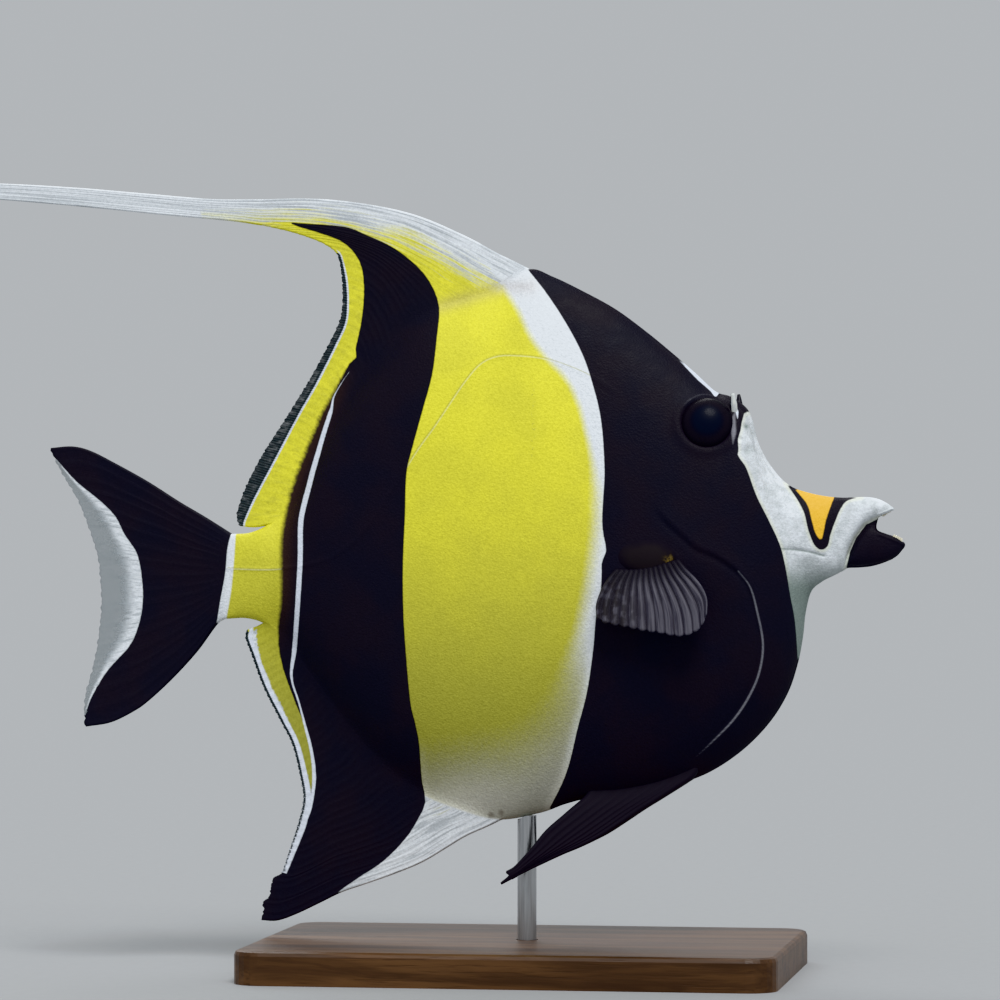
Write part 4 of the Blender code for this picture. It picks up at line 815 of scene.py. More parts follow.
class Finish:
    """One material: its surface shader, and the one way in which its nodes are added."""

    def __init__(self, name, **fixed):
        self.material = bpy.data.materials.new(name)
        self.material.use_nodes = True
        self.tree = self.material.node_tree
        self.surface = self.tree.nodes["Principled BSDF"]
        for socket, value in fixed.items():
            self.surface.inputs[socket.replace("_", " ")].default_value = value

    def node(self, kind, settings, inputs, output=0):
        """Adds a node, sets it up, then fills its sockets with values or wires."""
        made = self.tree.nodes.new("ShaderNode" + kind)
        for setting, value in settings.items():
            setattr(made, setting, value)
        for socket, value in inputs.items():
            self.fill(made.inputs[socket], value)
        return Wire(self, made.outputs[output])

    def fill(self, socket, value):
        if isinstance(value, Wire):
            self.tree.links.new(value.socket, socket)
        else:
            socket.default_value = (*value, 1.0) if socket.type == "RGBA" else value

    def show(self, **inputs):
        """Links or sets sockets of the surface."""
        for socket, value in inputs.items():
            self.fill(self.surface.inputs[socket.replace("_", " ")], value)

    def trait(self, name):
        return self.node("Attribute", {"attribute_name": name}, {}, "Fac")

    def mix(self, share, first, second):
        return self.node("Mix", {"data_type": "RGBA"}, {0: share, 6: first, 7: second}, 2)

    def place(self):
        return self.node("TexCoord", {}, {}, "Object")

    def stretched(self, place, scale):
        return self.node("Mapping", {}, {"Vector": place, "Scale": scale})

    def noise(self, place, scale, detail=3.0, roughness=0.5):
        inputs = {"Vector": place, "Scale": scale, "Detail": detail, "Roughness": roughness}
        return self.node("TexNoise", {}, inputs, "Fac")

    def bump(self, height, strength, distance):
        inputs = {"Height": height, "Strength": strength, "Distance": distance}
        return self.node("Bump", {}, inputs)


SNOW = (0.82, 0.86, 0.90)
GREY = (0.45, 0.49, 0.52)
FACE_GREY = (0.60, 0.64, 0.66)
FACE_CREAM = (0.74, 0.76, 0.60)
# Painted shade of the white on the lower belly.
BELLY_SHADE_GREY = (0.46, 0.46, 0.39)
BELLY_CREAM = (0.80, 0.80, 0.70)
# Grey-green painted shade: below and along the jaw crease and in hollows of the face.
THROAT_SHADE = (0.24, 0.29, 0.27)
LEMON = (0.86, 0.82, 0.085)
# Olive yellow: the yellow's own darker tone in mottling, fin streaks, specks and the lateral line, and also
# painted shade low on the flank.
OLIVE_YELLOW_AND_SHADE = (0.38, 0.375, 0.085)
SOOT = (0.0190, 0.0178, 0.0265)
BROWN_BLACK = (0.0230, 0.0195, 0.0262)
# Painted sheen: a lighter black streaked along the rays of black fins.
FIN_RAY_SHEEN_BLACK = (0.030, 0.028, 0.036)
STRIP_BROWN = (0.056, 0.038, 0.034)
SADDLE_ORANGE = (0.92, 0.56, 0.075)
LINE_WHITE = (0.76, 0.81, 0.90)
# Grey for faint lines of the skin, and for the painted highlight on the eye's rim.
DIM_LINE_AND_HIGHLIGHT = (0.30, 0.30, 0.34)
# Brown for the painted shade in the anal fin's root fold and for the dark specks at the vent.
ROOT_SHADE_AND_SPECK_BROWN = (0.16, 0.12, 0.09)
# Painted shade in the fold at the dorsal fin's base.
FOLD_SHADE_MAUVE = (0.40, 0.32, 0.28)
SMOKE_TEAL = (0.022, 0.028, 0.032)
MARGIN_RIDGE = (0.060, 0.078, 0.084)
CLEAR_GREY = (0.13, 0.175, 0.195)
LINING = (0.035, 0.018, 0.020)


def skin_finish(name, see_through):
    """The velvety skin, with or without clear fin edges."""
    coat = Finish(name, Specular_IOR_Level=0.22)
    place = coat.place()
    grain = coat.noise(place, 5200.0, 2.0, 0.6)
    stipple = coat.noise(place, 1800.0, 3.0, 0.65)
    mottle = coat.noise(place, 420.0, 4.0, 0.6)
    wide_mottle = coat.noise(place, 90.0, 3.0)
    wobble = coat.noise(place, 1500.0, 2.0) - 0.5
    ahead = coat.node("SeparateXYZ", {}, {"Vector": place}, "X")
    height = coat.node("SeparateXYZ", {}, {"Vector": place}, "Z")
    ray, web, along = coat.trait("ray"), coat.trait("web"), coat.trait("along")
    lines = coat.node("CombineXYZ", {}, {"X": coat.trait("across") * 0.9, "Y": along * 1.6})
    streak = coat.noise(lines, 2.4, 4.0, 0.62)
    slanted = coat.trait("across") * (3.2 * math.pi * COMB) + along * 9.0
    comb = slanted.math("SINE") * 0.5 + 0.5
    on_face = ahead.over(0.040, 0.048)

    white = coat.mix(on_face * (1.0 - mottle.over(0.3, 0.7)), SNOW, FACE_GREY)
    fringe = on_face * coat.trait("black").over(-7.0, -1.5)
    white = coat.mix(fringe * 0.5, white, FACE_CREAM)
    white = coat.mix(web * (1.0 - streak.over(0.38, 0.56)) * 0.75, white, GREY)
    white = coat.mix(height.over(0.052, 0.040) * (1.0 - web), white, BELLY_CREAM)
    # Painted shade: the lower belly's white turns grey, with wide mottling.
    white = coat.mix(coat.trait("belly") * (0.8 + wide_mottle * 0.4), white, BELLY_SHADE_GREY)
    # Painted shade below the jaw crease and in small hollows of the face.
    white = coat.mix(coat.trait("dull"), white, THROAT_SHADE)
    # Painted shade: the yellow darkens to olive towards the bottom of the body, as under light from above.
    lemon_with_painted_shade = coat.mix(height.over(0.040, 0.112), OLIVE_YELLOW_AND_SHADE, LEMON)
    lemon_with_painted_shade = coat.mix(wide_mottle.over(0.35, 0.65) * 0.16, lemon_with_painted_shade, OLIVE_YELLOW_AND_SHADE)
    lemon_with_painted_shade = coat.mix(web * streak.over(0.42, 0.7) * 0.3, lemon_with_painted_shade, OLIVE_YELLOW_AND_SHADE)
    yellow = (coat.trait("yellow") + wobble * 0.4 + web * (streak - 0.5) * 6.0).over(-1.0, 1.0)
    colour = coat.mix(yellow, white, lemon_with_painted_shade)
    lateral, near_line = coat.trait("lateral"), coat.trait("near_lateral")
    pale_side = 1.0 - (lateral - 0.12).math("ABSOLUTE").over(0.05, 0.22)
    dark_side = 1.0 - (lateral + 0.16).math("ABSOLUTE").over(0.05, 0.22)
    colour = coat.mix(dark_side * near_line * 0.45, colour, OLIVE_YELLOW_AND_SHADE)
    colour = coat.mix(pale_side * near_line * 0.25, colour, SNOW)
    speck = coat.trait("speck") * stipple.over(0.56, 0.62)
    colour = coat.mix(speck * 0.6, colour, OLIVE_YELLOW_AND_SHADE)
    # Painted shade along the jaw crease, a thin dark line.
    colour = coat.mix((1.0 - coat.trait("crease").over(0.0, 0.35)) * 0.7, colour, THROAT_SHADE)
    # Painted shade in the fold at the dorsal fin's base.
    colour = coat.mix(coat.trait("fold") * 0.3, colour, FOLD_SHADE_MAUVE)
    # Painted shade in the anal fin's root fold, and the dark specks at the vent.
    colour = coat.mix(coat.trait("stain").over(-1.0, 1.0) * 0.6, colour, ROOT_SHADE_AND_SPECK_BROWN)

    soot = coat.mix(wide_mottle.over(0.35, 0.65), SOOT, BROWN_BLACK)
    # Painted sheen streaked along the fin rays on black.
    soot = coat.mix(web * ray * streak.over(0.4, 0.7) * 0.4, soot, FIN_RAY_SHEEN_BLACK)
    soot = coat.mix(coat.trait("brown"), soot, STRIP_BROWN)
    black = (coat.trait("black") + wobble * 0.7 + coat.trait("jag") * (streak - 0.5)).over(-1.0, 1.0)
    colour = coat.mix(black, colour, soot)
    colour = coat.mix((coat.trait("saddle") + wobble).over(-1.0, 1.0), colour, SADDLE_ORANGE)
    gone = (coat.trait("clear") + (streak - 0.5) * 0.7).over(0.18, 0.6)
    colour = coat.mix(gone * 0.85, colour, CLEAR_GREY)
    margin = coat.mix((comb * 0.6 + streak * 0.7).over(0.35, 1.1), SMOKE_TEAL, MARGIN_RIDGE)
    at_margin = coat.trait("smoke").over(-1.0, 1.0)
    colour = coat.mix(at_margin, colour, margin)
    # Faint lines of the skin, and the painted highlight on the eye's rim.
    colour = coat.mix(coat.trait("dim").over(-1.0, 1.0) * 0.8, colour, DIM_LINE_AND_HIGHLIGHT)
    colour = coat.mix((coat.trait("fine") + wobble).over(-1.0, 1.0), colour, LINE_WHITE)
    colour = coat.mix(coat.trait("lining"), colour, LINING)
    shade = coat.node("CombineColor", {}, {n: 0.62 + grain * 0.24 + stipple * 0.52 for n in range(3)})
    multiplied = {"data_type": "RGBA", "blend_type": "MULTIPLY"}
    colour = coat.node("Mix", multiplied, {0: 1.0, 6: colour, 7: shade}, 2)

    cells = coat.node("TexVoronoi", {}, {"Vector": place, "Scale": 2300.0}, "Distance")
    relief = grain * 0.4 + stipple * 0.5 + cells * 0.6 * (1.0 - web) + streak * web * 0.5 + comb * at_margin
    coat.show(Base_Color=colour, Roughness=0.46 + mottle * 0.22, Normal=coat.bump(relief, 0.55, 0.00016))
    if see_through:
        coat.show(Alpha=1.0 - gone * 0.62)
    return coat.material


skin.data.materials.append(skin_finish("idol_skin", False))
skin.data.materials.append(skin_finish("idol_fin_edge", True))
clear_at = np.zeros(len(skin.data.vertices), np.float32)
skin.data.attributes["clear"].data.foreach_get("value", clear_at)
corners = np.zeros(4 * len(skin.data.polygons), np.int32)
skin.data.polygons.foreach_get("vertices", corners)
edge_faces = (clear_at[corners.reshape(-1, 4)].mean(axis=1) > 0.02).astype(np.int32)
skin.data.polygons.foreach_set("material_index", edge_faces)
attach(skin, "root")
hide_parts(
    "head",
    "gill_cover_left",
    "gill_cover_right",
    "snout",
    "upper_jaw",
    "lower_jaw",
    "torso",
    "tail_base",
    "dorsal_fin",
    "dorsal_filament",
    "anal_fin",
    "caudal_fin",
)

# Teeth, a row of fine ivory bristles along each lip.
# Each is a slim cone of tooth enamel, rooted in the gum just inside the lip.
UPPER_TEETH = [(75.0, 1.35, 96.2), (76.1, 0.75, 96.95), (76.4, 0.0, 97.05)]
LOWER_TEETH = [(77.1, 1.15, 90.9), (78.2, 0.65, 90.4), (78.7, 0.0, 90.1)]
TOOTH_LENGTHS, TOOTH_RADIUS = (0.7, 1.35), 0.28
TEETH_A_ROW = 11
ENAMEL = (0.74, 0.72, 0.60)
ENAMEL_TIP = (0.62, 0.55, 0.38)


def tube(name, paths, radii, sides):
    """Round tapered rods along smooth paths, as one mesh with closed ends."""
    points, faces = [], []
    for path in paths:
        path = np.asarray(path, float)
        step = np.gradient(path, axis=0)
        step /= np.linalg.norm(step, axis=1)[:, None]
        side = np.cross(step, (0.31, 0.87, 0.38))
        side /= np.linalg.norm(side, axis=1)[:, None]
        other = np.cross(step, side)
        base = len(points)
        for n, (place, radius) in enumerate(zip(path, radii)):
            for k in range(sides):
                turn = 2 * math.pi * k / sides
                points.append(place + radius * (math.cos(turn) * side[n] + math.sin(turn) * other[n]))
        for n in range(len(path) - 1):
            for k in range(sides):
                a, b = base + n * sides + k, base + n * sides + (k + 1) % sides
                faces.append((a, b, b + sides, a + sides))
        faces.append(tuple(base + k for k in reversed(range(sides))))
        faces.append(tuple(base + (len(path) - 1) * sides + k for k in range(sides)))
    mesh = bpy.data.meshes.new(name)
    mesh.from_pydata((np.array(points) * MM).tolist(), [], faces)
    mesh.shade_smooth()
    return added(name, mesh)


teeth_paths = []
for row, up, length in ((UPPER_TEETH, -1, TOOTH_LENGTHS[0]), (LOWER_TEETH, 1, TOOTH_LENGTHS[1])):
    both = [(x, -y, z) for x, y, z in row] + [(x, y, z) for x, y, z in row[::-1]][1:]
    for x, y, z in curve(both, TEETH_A_ROW):
        lean = np.array([0.25 * length, 0.03 * y, up * length])
        start = np.array([x - 0.35, 0.85 * y, z - up * 0.35])
        teeth_paths.append([start + lean * t for t in (0, 0.5, 0.8, 1.0, 1.12)])
teeth = tube("teeth", teeth_paths, [TOOTH_RADIUS * s for s in (1.0, 0.95, 0.75, 0.45, 0.1)], 8)
enamel = Finish("tooth_enamel", Coat_Weight=0.4)
place = enamel.place()
enamel.show(
    Base_Color=enamel.mix(enamel.noise(place, 900.0).over(0.35, 0.65), ENAMEL, ENAMEL_TIP),
    Roughness=0.25 + enamel.noise(place, 1800.0) * 0.2,
)
teeth.data.materials.append(enamel.material)
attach(teeth, "root")

# Eyes, dark balls with a soft sheen that turn a little forward and up in bony pits.
# A brown-black iris with fine spokes surrounds a dark blue pupil under a clear cornea.
EYE_RADIUS, EYE_DEPTH = 5.6, 3.5
EYE_SPOKES, EYE_RINGS = 64, 40
PUPIL_RADIUS, IRIS_EDGE = 3.2, 5.1
PUPIL_BLUE = (0.0085, 0.0100, 0.0200)
IRIS_BROWN = (0.018, 0.016, 0.020)
IRIS_SPOKE = (0.025, 0.022, 0.028)
EYE_BLACK = (0.014, 0.012, 0.016)


def ball_faces(rings, spokes):
    """Quads that join rings of points into a ball."""
    faces = []
    for n in range(rings):
        for k in range(spokes):
            a, b = n * spokes + k, n * spokes + (k + 1) % spokes
            faces.append((a, a + spokes, b + spokes, b))
    return faces


eye_finish = Finish("eye_gloss_finish", Coat_Weight=0.03, Coat_Roughness=0.1, Specular_IOR_Level=0.1)
radius_out = eye_finish.trait("from_axis")
turn = eye_finish.trait("turn")
spokes = eye_finish.node("CombineXYZ", {}, {"X": turn * 9.0, "Y": radius_out * 0.25})
spoke = eye_finish.noise(spokes, 3.0, 3.0).over(0.35, 0.65)
iris = eye_finish.mix(spoke, IRIS_BROWN, IRIS_SPOKE)
iris = eye_finish.mix(radius_out.over(IRIS_EDGE - 0.8, IRIS_EDGE), iris, EYE_BLACK)
eye_finish.show(
    Base_Color=eye_finish.mix(radius_out.over(PUPIL_RADIUS - 0.9, PUPIL_RADIUS + 0.9), PUPIL_BLUE, iris),
    Roughness=0.34 + spoke * 0.1,
)
for side, label in ((-1, "right"), (1, "left")):
    look = Vector((EYE_LOOK[0], side * EYE_LOOK[1], EYE_LOOK[2])).normalized()
    toward = Vector((0, 0, 1)).rotation_difference(look).to_matrix()
    points, traits = [], []
    for n in range(EYE_RINGS + 1):
        polar = math.pi * n / EYE_RINGS
        for k in range(EYE_SPOKES):
            around = 2 * math.pi * k / EYE_SPOKES
            out = EYE_RADIUS * math.sin(polar)
            local = Vector((out * math.cos(around), out * math.sin(around), EYE_DEPTH * math.cos(polar)))
            centre = Vector((EYE_CENTRE[0], side * EYE_CENTRE[1], EYE_CENTRE[2]))
            points.append((centre + toward @ local) * MM)
            traits.append((out if n < EYE_RINGS / 2 else EYE_RADIUS, math.sin(around * 3) + around * 0.2))
    mesh = bpy.data.meshes.new("eyeball_" + label)
    mesh.from_pydata([tuple(p) for p in points], [], ball_faces(EYE_RINGS, EYE_SPOKES))
    for n, name in enumerate(("from_axis", "turn")):
        keep_trait(mesh, name, [t[n] for t in traits])
    mesh.shade_smooth()
    eyeball = added("eyeball_" + label, mesh)
    mesh.materials.append(eye_finish.material)
    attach(eyeball, "root")
    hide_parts("eye_" + label)

# Horns, two short bony spikes that rise in front of and above the eyes.
# They grow from the rim bone under thin skin, white in front and dark behind.
HORN_PATH = [
    (43.3, 3.6, 113.0), (43.9, 4.4, 116.0), (44.15, 5.2, 118.4), (44.1, 5.8, 120.3), (44.0, 6.0, 121.3),
]
HORN_STEPS = 22
HORN_RADII = [0.9, 0.9, 0.8, 0.75, 0.35]
HORN_WHITE = (0.82, 0.84, 0.78)
HORN_DARK = (0.014, 0.012, 0.020)

horn_finish = Finish("horn_finish", Specular_IOR_Level=0.4)
place = horn_finish.place()
forward = horn_finish.trait("forward")
horn_grain = horn_finish.noise(horn_finish.stretched(place, (1.0, 1.0, 0.25)), 2600.0, 4.0)
white = horn_finish.mix(horn_grain.over(0.3, 0.7), HORN_WHITE, FACE_GREY)
horn_finish.show(
    Base_Color=horn_finish.mix((forward + horn_grain * 0.4).over(0.1, 0.4), HORN_DARK, white),
    Roughness=0.35 + horn_grain * 0.25,
    Normal=horn_finish.bump(horn_grain, 0.4, 0.0001),
)
for side, label in ((-1, "right"), (1, "left")):
    path = curve([(x, side * y, z) for x, y, z in HORN_PATH], HORN_STEPS)
    radii = np.interp(np.linspace(0, 1, HORN_STEPS), np.linspace(0, 1, len(HORN_RADII)), HORN_RADII)
    horn = tube("horn_spike_" + label, [path], radii, 20)
    forward = []
    for vertex in horn.data.vertices:
        x, y, z = vertex.co / MM
        outer = (y - np.interp(z, path[:, 2], path[:, 1])) * side
        threshold = 0.5 - 0.22 * (z - 117.5)
        forward.append(x - np.interp(z, path[:, 2], path[:, 0]) + 1.6 * outer - threshold - 0.3)
    keep_trait(horn.data, "forward", forward)
    horn.data.materials.append(horn_finish.material)
    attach(horn, "root")
    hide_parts("horn_" + label)

# Pelvic fins, two black blades that fold back side by side under the belly.
# A strong spine leads each one, with soft rays behind it that draw to one point.
PELVIC_ROOT = [(36.0, 44.2), (29.0, 41.8), (21.0, 40.2), (14.5, 39.4)]
PELVIC_FRONT = [
    (36.0, 44.2), (35.2, 42.2), (33.2, 40.7), (29.3, 38.2), (24.4, 35.1), (20.2, 32.2), (16.1, 29.5),
    (12.0, 27.4), (7.9, 25.6), (1.6, 22.5), (-4.4, 19.2),
]
PELVIC_REAR = [
    (14.5, 39.4), (13.2, 36.8), (9.2, 33.3), (5.2, 29.9), (2.0, 26.1), (-1.3, 22.7), (-3.2, 21.6),
]
PELVIC_TIP = [(-4.4, 19.2), (-2.6, 20.8), (-3.2, 21.6)]
PELVIC_COLUMNS, PELVIC_ROWS, PELVIC_RAYS = 57, 70, 7
PELVIC_ROOT_OUT, PELVIC_TIP_OUT = 2.2, 7.0
PELVIC_THICK, PELVIC_THIN, PELVIC_RIDGE = 0.95, 0.28, 0.16


def mirrored(obj, name):
    """The same piece on the other side of the mid plane."""
    made = added(name, obj.data.copy())
    made.data.transform(Matrix.Scale(-1, 4, (0, 1, 0)))
    made.data.flip_normals()
    return made


def paired_fin(name, grid, middle, half, ray, share, across, crown):
    """A thin fin of the right side, with its rays on both faces of a middle surface."""
    sheet = NearSide()
    outer = np.dstack([grid[..., 0], middle - half, grid[..., 1]])
    sheet.sew(outer, ray=ray, along=share, across=across, web=1.0, crown=crown)
    inner = np.dstack([grid[..., 0], middle + half, grid[..., 1]]).reshape(-1, 3)
    kept = {trait: sheet.traits[trait] for trait in ("across", "along", "ray")}
    return sewn(name, sheet.points, inner, sheet.quads, sheet.traits["crown"], kept)


grid = patch(
    curve(PELVIC_ROOT, PELVIC_COLUMNS),
    curve(PELVIC_TIP, PELVIC_COLUMNS),
    curve(PELVIC_FRONT, PELVIC_ROWS),
    curve(PELVIC_REAR, PELVIC_ROWS),
)
share = np.linspace(0, 1, PELVIC_ROWS)[:, None]
middle = -(PELVIC_ROOT_OUT + (PELVIC_TIP_OUT - PELVIC_ROOT_OUT) * share**0.8)
across = np.linspace(0, PELVIC_RAYS, PELVIC_COLUMNS)
half = PELVIC_THIN + (PELVIC_THICK - PELVIC_THIN) * (1 - share) ** 1.3
ray = (0.5 + 0.5 * np.cos(2 * math.pi * across)) ** 1.4 + 0 * share
half = half + PELVIC_RIDGE * ray * np.minimum(1, share * 4) * np.minimum(1, (1 - share) * 5)
pelvic = paired_fin("pelvic_blade_right", grid, middle, half, ray, share, across, 0.9)
blade = Finish("pelvic_blade_finish", Specular_IOR_Level=0.22)
place = blade.place()
lines = blade.node("CombineXYZ", {}, {"X": blade.trait("across") * 1.7, "Y": blade.trait("along") * 2.0})
streak = blade.noise(lines, 2.4, 4.0, 0.6)
grain = blade.noise(place, 5200.0, 2.0, 0.6)
# Painted sheen streaked along the pelvic rays.
blade.show(
    Base_Color=blade.mix(blade.trait("ray") * streak.over(0.35, 0.7) * 0.5, BROWN_BLACK, FIN_RAY_SHEEN_BLACK),
    Roughness=0.45 + streak * 0.2,
    Normal=blade.bump(grain * 0.5 + streak, 0.45, 0.00012),
)
pelvic.data.materials.append(blade.material)
for piece, label in ((pelvic, "right"), (mirrored(pelvic, "pelvic_blade_left"), "left")):
    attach(piece, "root")
    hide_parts("pelvic_fin_" + label)

# Pectoral fins, smoky fans behind the gill covers, held out and swept down.
# A fleshy mauve-brown lobe carries silvery rays, forked only near the front edge, with
# thin dark membrane between them.
LOBE_CENTRE, LOBE_RADII = (26.6, 11.3, 87.4), (6.6, 1.7, 3.9)
LOBE_RINGS, LOBE_SPOKES = 40, 56
GLINT_CENTRE, GLINT_REACH = (31.7, 86.7), 0.9
PECTORAL_ROOT = [(33.4, 86.6), (31.0, 85.9), (27.8, 85.0), (24.0, 84.5), (20.6, 84.6)]
PECTORAL_FRONT = [(33.4, 86.6), (35.0, 84.8), (37.0, 83.0), (38.7, 81.0), (39.7, 78.8), (39.8, 76.0)]
PECTORAL_REAR = [(20.6, 84.6), (19.0, 82.4), (17.8, 80.0), (17.1, 77.5), (17.3, 75.2)]
PECTORAL_MARGIN = [
    (39.8, 76.0), (39.0, 74.0), (37.7, 72.5), (35.8, 71.7), (33.5, 71.5), (30.3, 72.1), (26.6, 72.6),
    (22.5, 73.4), (18.6, 74.2), (17.3, 75.2),
]
PECTORAL_ROOT_OUT, PECTORAL_TIP_OUT = 12.3, 16.8
PECTORAL_COLUMNS, PECTORAL_ROWS, PECTORAL_RAYS = 273, 60, 13
PECTORAL_THICK, PECTORAL_THIN, PECTORAL_RIDGE = 0.5, 0.22, 0.09
PECTORAL_WAVE, SCALLOP = 0.22, 0.3
RAY_SILVER = (0.140, 0.135, 0.160)
RAY_SHADE = (0.070, 0.066, 0.084)
RAY_REAR = (0.046, 0.042, 0.046)
MEMBRANE = (0.044, 0.040, 0.050)
FAN_SPECK = (0.30, 0.30, 0.30)
LOBE_MAUVE = (0.039, 0.0345, 0.037)
LOBE_DARK = (0.0225, 0.0200, 0.0262)
LOBE_GLINT = (0.30, 0.22, 0.08)

grid = patch(
    curve(PECTORAL_ROOT, PECTORAL_COLUMNS),
    curve(PECTORAL_MARGIN, PECTORAL_COLUMNS),
    curve(PECTORAL_FRONT, PECTORAL_ROWS),
    curve(PECTORAL_REAR, PECTORAL_ROWS),
)
share = np.linspace(0, 1, PECTORAL_ROWS)[:, None]
across = np.linspace(0, PECTORAL_RAYS, PECTORAL_COLUMNS)
whole = (0.5 + 0.5 * np.cos(2 * math.pi * across)) ** 0.9 + 0 * share
forked = (0.5 + 0.5 * np.cos(4 * math.pi * across + math.pi)) ** 0.9 + 0 * share
fork = ramp(share, 0.45, 0.75) * ramp(across, 8.5, 6.0)
ray = whole * (1 - fork) + np.maximum(forked, 0.55 * whole) * fork
half = PECTORAL_THIN + (PECTORAL_THICK - PECTORAL_THIN) * (1 - share) ** 1.5 + PECTORAL_RIDGE * ray
middle = -(PECTORAL_ROOT_OUT + (PECTORAL_TIP_OUT - PECTORAL_ROOT_OUT) * share**0.85)
middle = middle - PECTORAL_WAVE * whole * np.minimum(1, share * 3)
out = grid[-1] - grid[-6]
out /= np.linalg.norm(out, axis=1)[:, None]
grid = grid + (share**10)[..., None] * (SCALLOP * (whole[0] - 0.5))[None, :, None] * out[None]
fan = paired_fin("pectoral_fan_right", grid, middle, half, ray, share, across, 0.8)
smoky = Finish("pectoral_fan_finish", Specular_IOR_Level=0.2)
place = smoky.place()
along, ray = smoky.trait("along"), smoky.trait("ray")
lines = smoky.node("CombineXYZ", {}, {"X": smoky.trait("across") * 1.5, "Y": along * 0.6})
streak = smoky.noise(lines, 3.0, 4.0, 0.6)
blotch = smoky.noise(place, 600.0, 3.0)
rear_part = (smoky.trait("across") + along * 2.0).over(7.5, 12.5)
silver = smoky.mix(streak.over(0.36, 0.62), RAY_SHADE, RAY_SILVER)
silver = smoky.mix(rear_part * (1.2 - blotch.over(0.35, 0.65)).math("MINIMUM", 1.0), silver, RAY_REAR)
web_tone = smoky.mix(along.over(0.1, 0.8), LOBE_DARK, MEMBRANE)
fan_colour = smoky.mix(ray.over(-0.3, 0.6) * along.over(-0.02, 0.42), web_tone, silver)
speck = rear_part * along.over(0.35, 0.6) * smoky.noise(place, 1500.0, 2.0).over(0.72, 0.80)
smoky.show(
    Base_Color=smoky.mix(speck, fan_colour, FAN_SPECK),
    Roughness=0.45 + streak * 0.2,
    Alpha=0.80 + ray * 0.2,
    Normal=smoky.bump(streak, 0.5, 0.0001),
)
fan.data.materials.append(smoky.material)

lobe_mesh = bpy.data.meshes.new("pectoral_lobe_right")
points = []
for n in range(LOBE_RINGS + 1):
    polar = math.pi * n / LOBE_RINGS
    for k in range(LOBE_SPOKES):
        around = 2 * math.pi * k / LOBE_SPOKES
        x = LOBE_RADII[0] * math.sin(polar) * math.cos(around)
        z = LOBE_RADII[2] * math.sin(polar) * math.sin(around)
        y = LOBE_RADII[1] * math.cos(polar)
        points.append(((LOBE_CENTRE[0] + x) * MM, -(LOBE_CENTRE[1] + y) * MM, (LOBE_CENTRE[2] + z) * MM))
lobe_mesh.from_pydata(points, [], ball_faces(LOBE_RINGS, LOBE_SPOKES))
seen_at = np.array(points)[:, ::2] / MM
off_centre = (seen_at - (LOBE_CENTRE[0], LOBE_CENTRE[2])) / (LOBE_RADII[0], LOBE_RADII[2])
off_centre = np.linalg.norm(off_centre, axis=1)
glow = bell(np.linalg.norm(seen_at - GLINT_CENTRE, axis=1), GLINT_REACH)
for name, values in (("off_centre", off_centre), ("glow", glow)):
    keep_trait(lobe_mesh, name, values)
lobe_mesh.shade_smooth()
lobe = added("pectoral_lobe_right", lobe_mesh)
fleshy = Finish("pectoral_lobe_finish", Specular_IOR_Level=0.1)
place = fleshy.place()
cloud = fleshy.noise(place, 260.0, 4.0)
fine_grain = fleshy.noise(place, 5200.0, 2.0)
dark = (fleshy.trait("off_centre") + cloud * 0.5 - 0.25).over(0.45, 1.0)
mauve = fleshy.mix(dark, LOBE_MAUVE, LOBE_DARK)
glint = fleshy.trait("glow") * fleshy.noise(place, 1300.0, 2.0).over(0.35, 0.65)
fleshy.show(
    Base_Color=fleshy.mix(glint, mauve, LOBE_GLINT),
    Roughness=0.7 + cloud * 0.2,
    Normal=fleshy.bump(fine_grain, 0.4, 0.0001),
)
lobe_mesh.materials.append(fleshy.material)
for label in ("right", "left"):
    pair = (fan, lobe)
    if label == "left":
        pair = (mirrored(fan, "pectoral_fan_left"), mirrored(lobe, "pectoral_lobe_left"))
    for piece in pair:
        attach(piece, "root")
        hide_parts("pectoral_fin_" + label)

# Stand, a flat walnut base with rounded edges and a brushed steel rod set into it.
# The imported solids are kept: they are the real base and rod, and only get their finish.
WALNUT_DARK = (0.050, 0.024, 0.012)
WALNUT_LIGHT = (0.150, 0.078, 0.038)
STEEL = (0.56, 0.57, 0.58)
STEEL_SHADE = (0.44, 0.45, 0.46)

walnut = Finish("walnut_finish", Coat_Weight=0.15, Coat_Roughness=0.3)
place = walnut.place()
warp = walnut.noise(walnut.stretched(place, (6.0, 30.0, 30.0)), 2.0, 3.0)
straight = walnut.stretched(place, (9.0, 150.0, 150.0))
shift = walnut.node("CombineXYZ", {}, {"Y": warp * 3.0, "Z": warp * 2.0})
bent = walnut.node("VectorMath", {"operation": "ADD"}, {0: straight, 1: shift})
rings_of_growth = walnut.noise(bent, 1.1, 5.0, 0.6)
pores = walnut.noise(walnut.stretched(place, (90.0, 1800.0, 1800.0)), 1.0, 3.0, 0.6)
tone = walnut.mix(rings_of_growth.over(0.32, 0.66), WALNUT_DARK, WALNUT_LIGHT)
walnut.show(
    Base_Color=walnut.mix((1.0 - pores.over(0.30, 0.48)) * 0.6, tone, WALNUT_DARK),
    Roughness=0.34 + pores * 0.22,
    Normal=walnut.bump(pores.over(0.25, 0.5), 0.3, 0.0001),
)
steel = Finish("steel_finish", Metallic=1.0)
place = steel.place()
brush = steel.noise(steel.stretched(place, (2600.0, 2600.0, 90.0)), 1.0, 3.0)
steel.show(
    Base_Color=steel.mix(brush.over(0.3, 0.7), STEEL, STEEL_SHADE),
    Roughness=0.24 + brush * 0.16,
    Normal=steel.bump(brush, 0.12, 0.00005),
)
for name, finish in (("stand_base", walnut), ("stand_rod", steel)):
    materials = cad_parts[name].data.materials
    materials.clear()
    materials.append(finish.material)

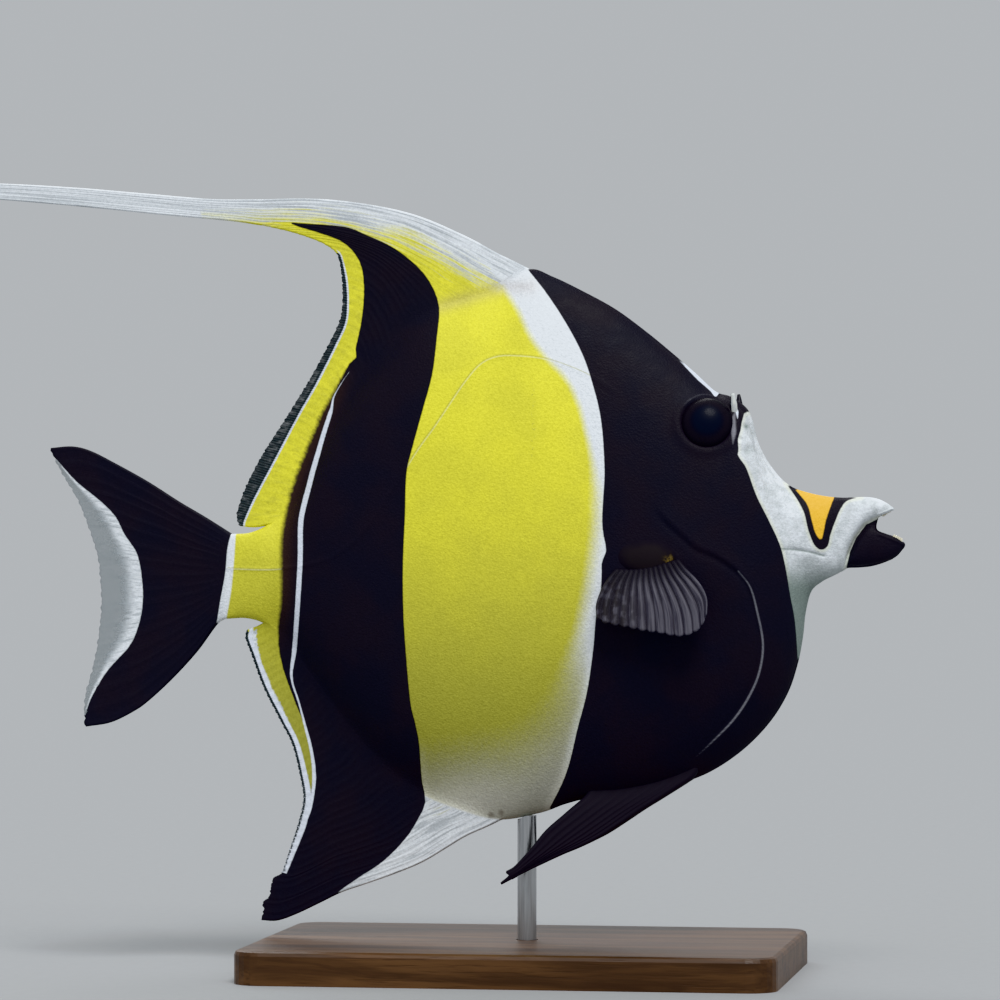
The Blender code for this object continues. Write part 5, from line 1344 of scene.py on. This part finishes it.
# Photo studio: a wide pale floor under an evenly lit pale sky, with a soft main light
# from above on the camera's side, a weaker one from behind, and the side view's camera.
SKY = (0.485, 0.505, 0.525)
SUNS = [("main_light", (0.20, -0.52, 0.83), 2.1, 26.0), ("back_light", (-0.30, 0.62, 0.72), 0.8, 40.0)]
FLOOR_RADIUS, FLOOR_SIDES = 40.0, 96
CAMERA_LENS = 180.0

falling = sum(power * spot[2] / Vector(spot).length for _, spot, power, _ in SUNS) / math.pi
floor_colour = tuple(sky / (sky + falling) for sky in SKY)
turns = np.linspace(0, 2 * math.pi, FLOOR_SIDES + 1)[:-1]
points = [(FLOOR_RADIUS * math.cos(t), FLOOR_RADIUS * math.sin(t), 0.0) for t in turns]
mesh = bpy.data.meshes.new("studio_floor")
mesh.from_pydata(points, [], [tuple(range(FLOOR_SIDES))])
studio_floor = added("studio_floor", mesh)
paper = Finish("floor_finish", Specular_IOR_Level=0.0)
fibre = paper.noise(paper.place(), 400.0, 3.0)
paler = tuple(c * 1.03 for c in floor_colour)
darker = tuple(c * 0.97 for c in floor_colour)
paper.show(Base_Color=paper.mix(fibre, darker, paler), Roughness=0.85)
mesh.materials.append(paper.material)

target = Vector(VIEW_TARGET) * MM
toward_camera = Vector((math.sin(VIEW_YAW), -math.cos(VIEW_YAW), 0.0))
camera_data = bpy.data.cameras.new("side_view")
camera_data.sensor_width = 36.0
camera_data.lens = CAMERA_LENS
camera = added("side_view", camera_data)
camera.location = target + toward_camera * VIEW_DISTANCE * MM
camera.rotation_euler = (-toward_camera).to_track_quat("-Z", "Y").to_euler()
bpy.context.scene.camera = camera

for name, spot, power, spread in SUNS:
    sun = bpy.data.lights.new(name, "SUN")
    sun.energy = power
    sun.angle = math.radians(spread)
    lamp = added(name, sun)
    lamp.location = spot
    lamp.rotation_euler = (-Vector(spot)).to_track_quat("-Z", "Y").to_euler()
world = bpy.data.worlds.new("studio_sky")
world.use_nodes = True
world.node_tree.nodes["Background"].inputs["Color"].default_value = (*SKY, 1.0)
world.node_tree.nodes["Background"].inputs["Strength"].default_value = 1.0
bpy.context.scene.world = world
bpy.context.scene.view_settings.view_transform = "Khronos PBR Neutral"
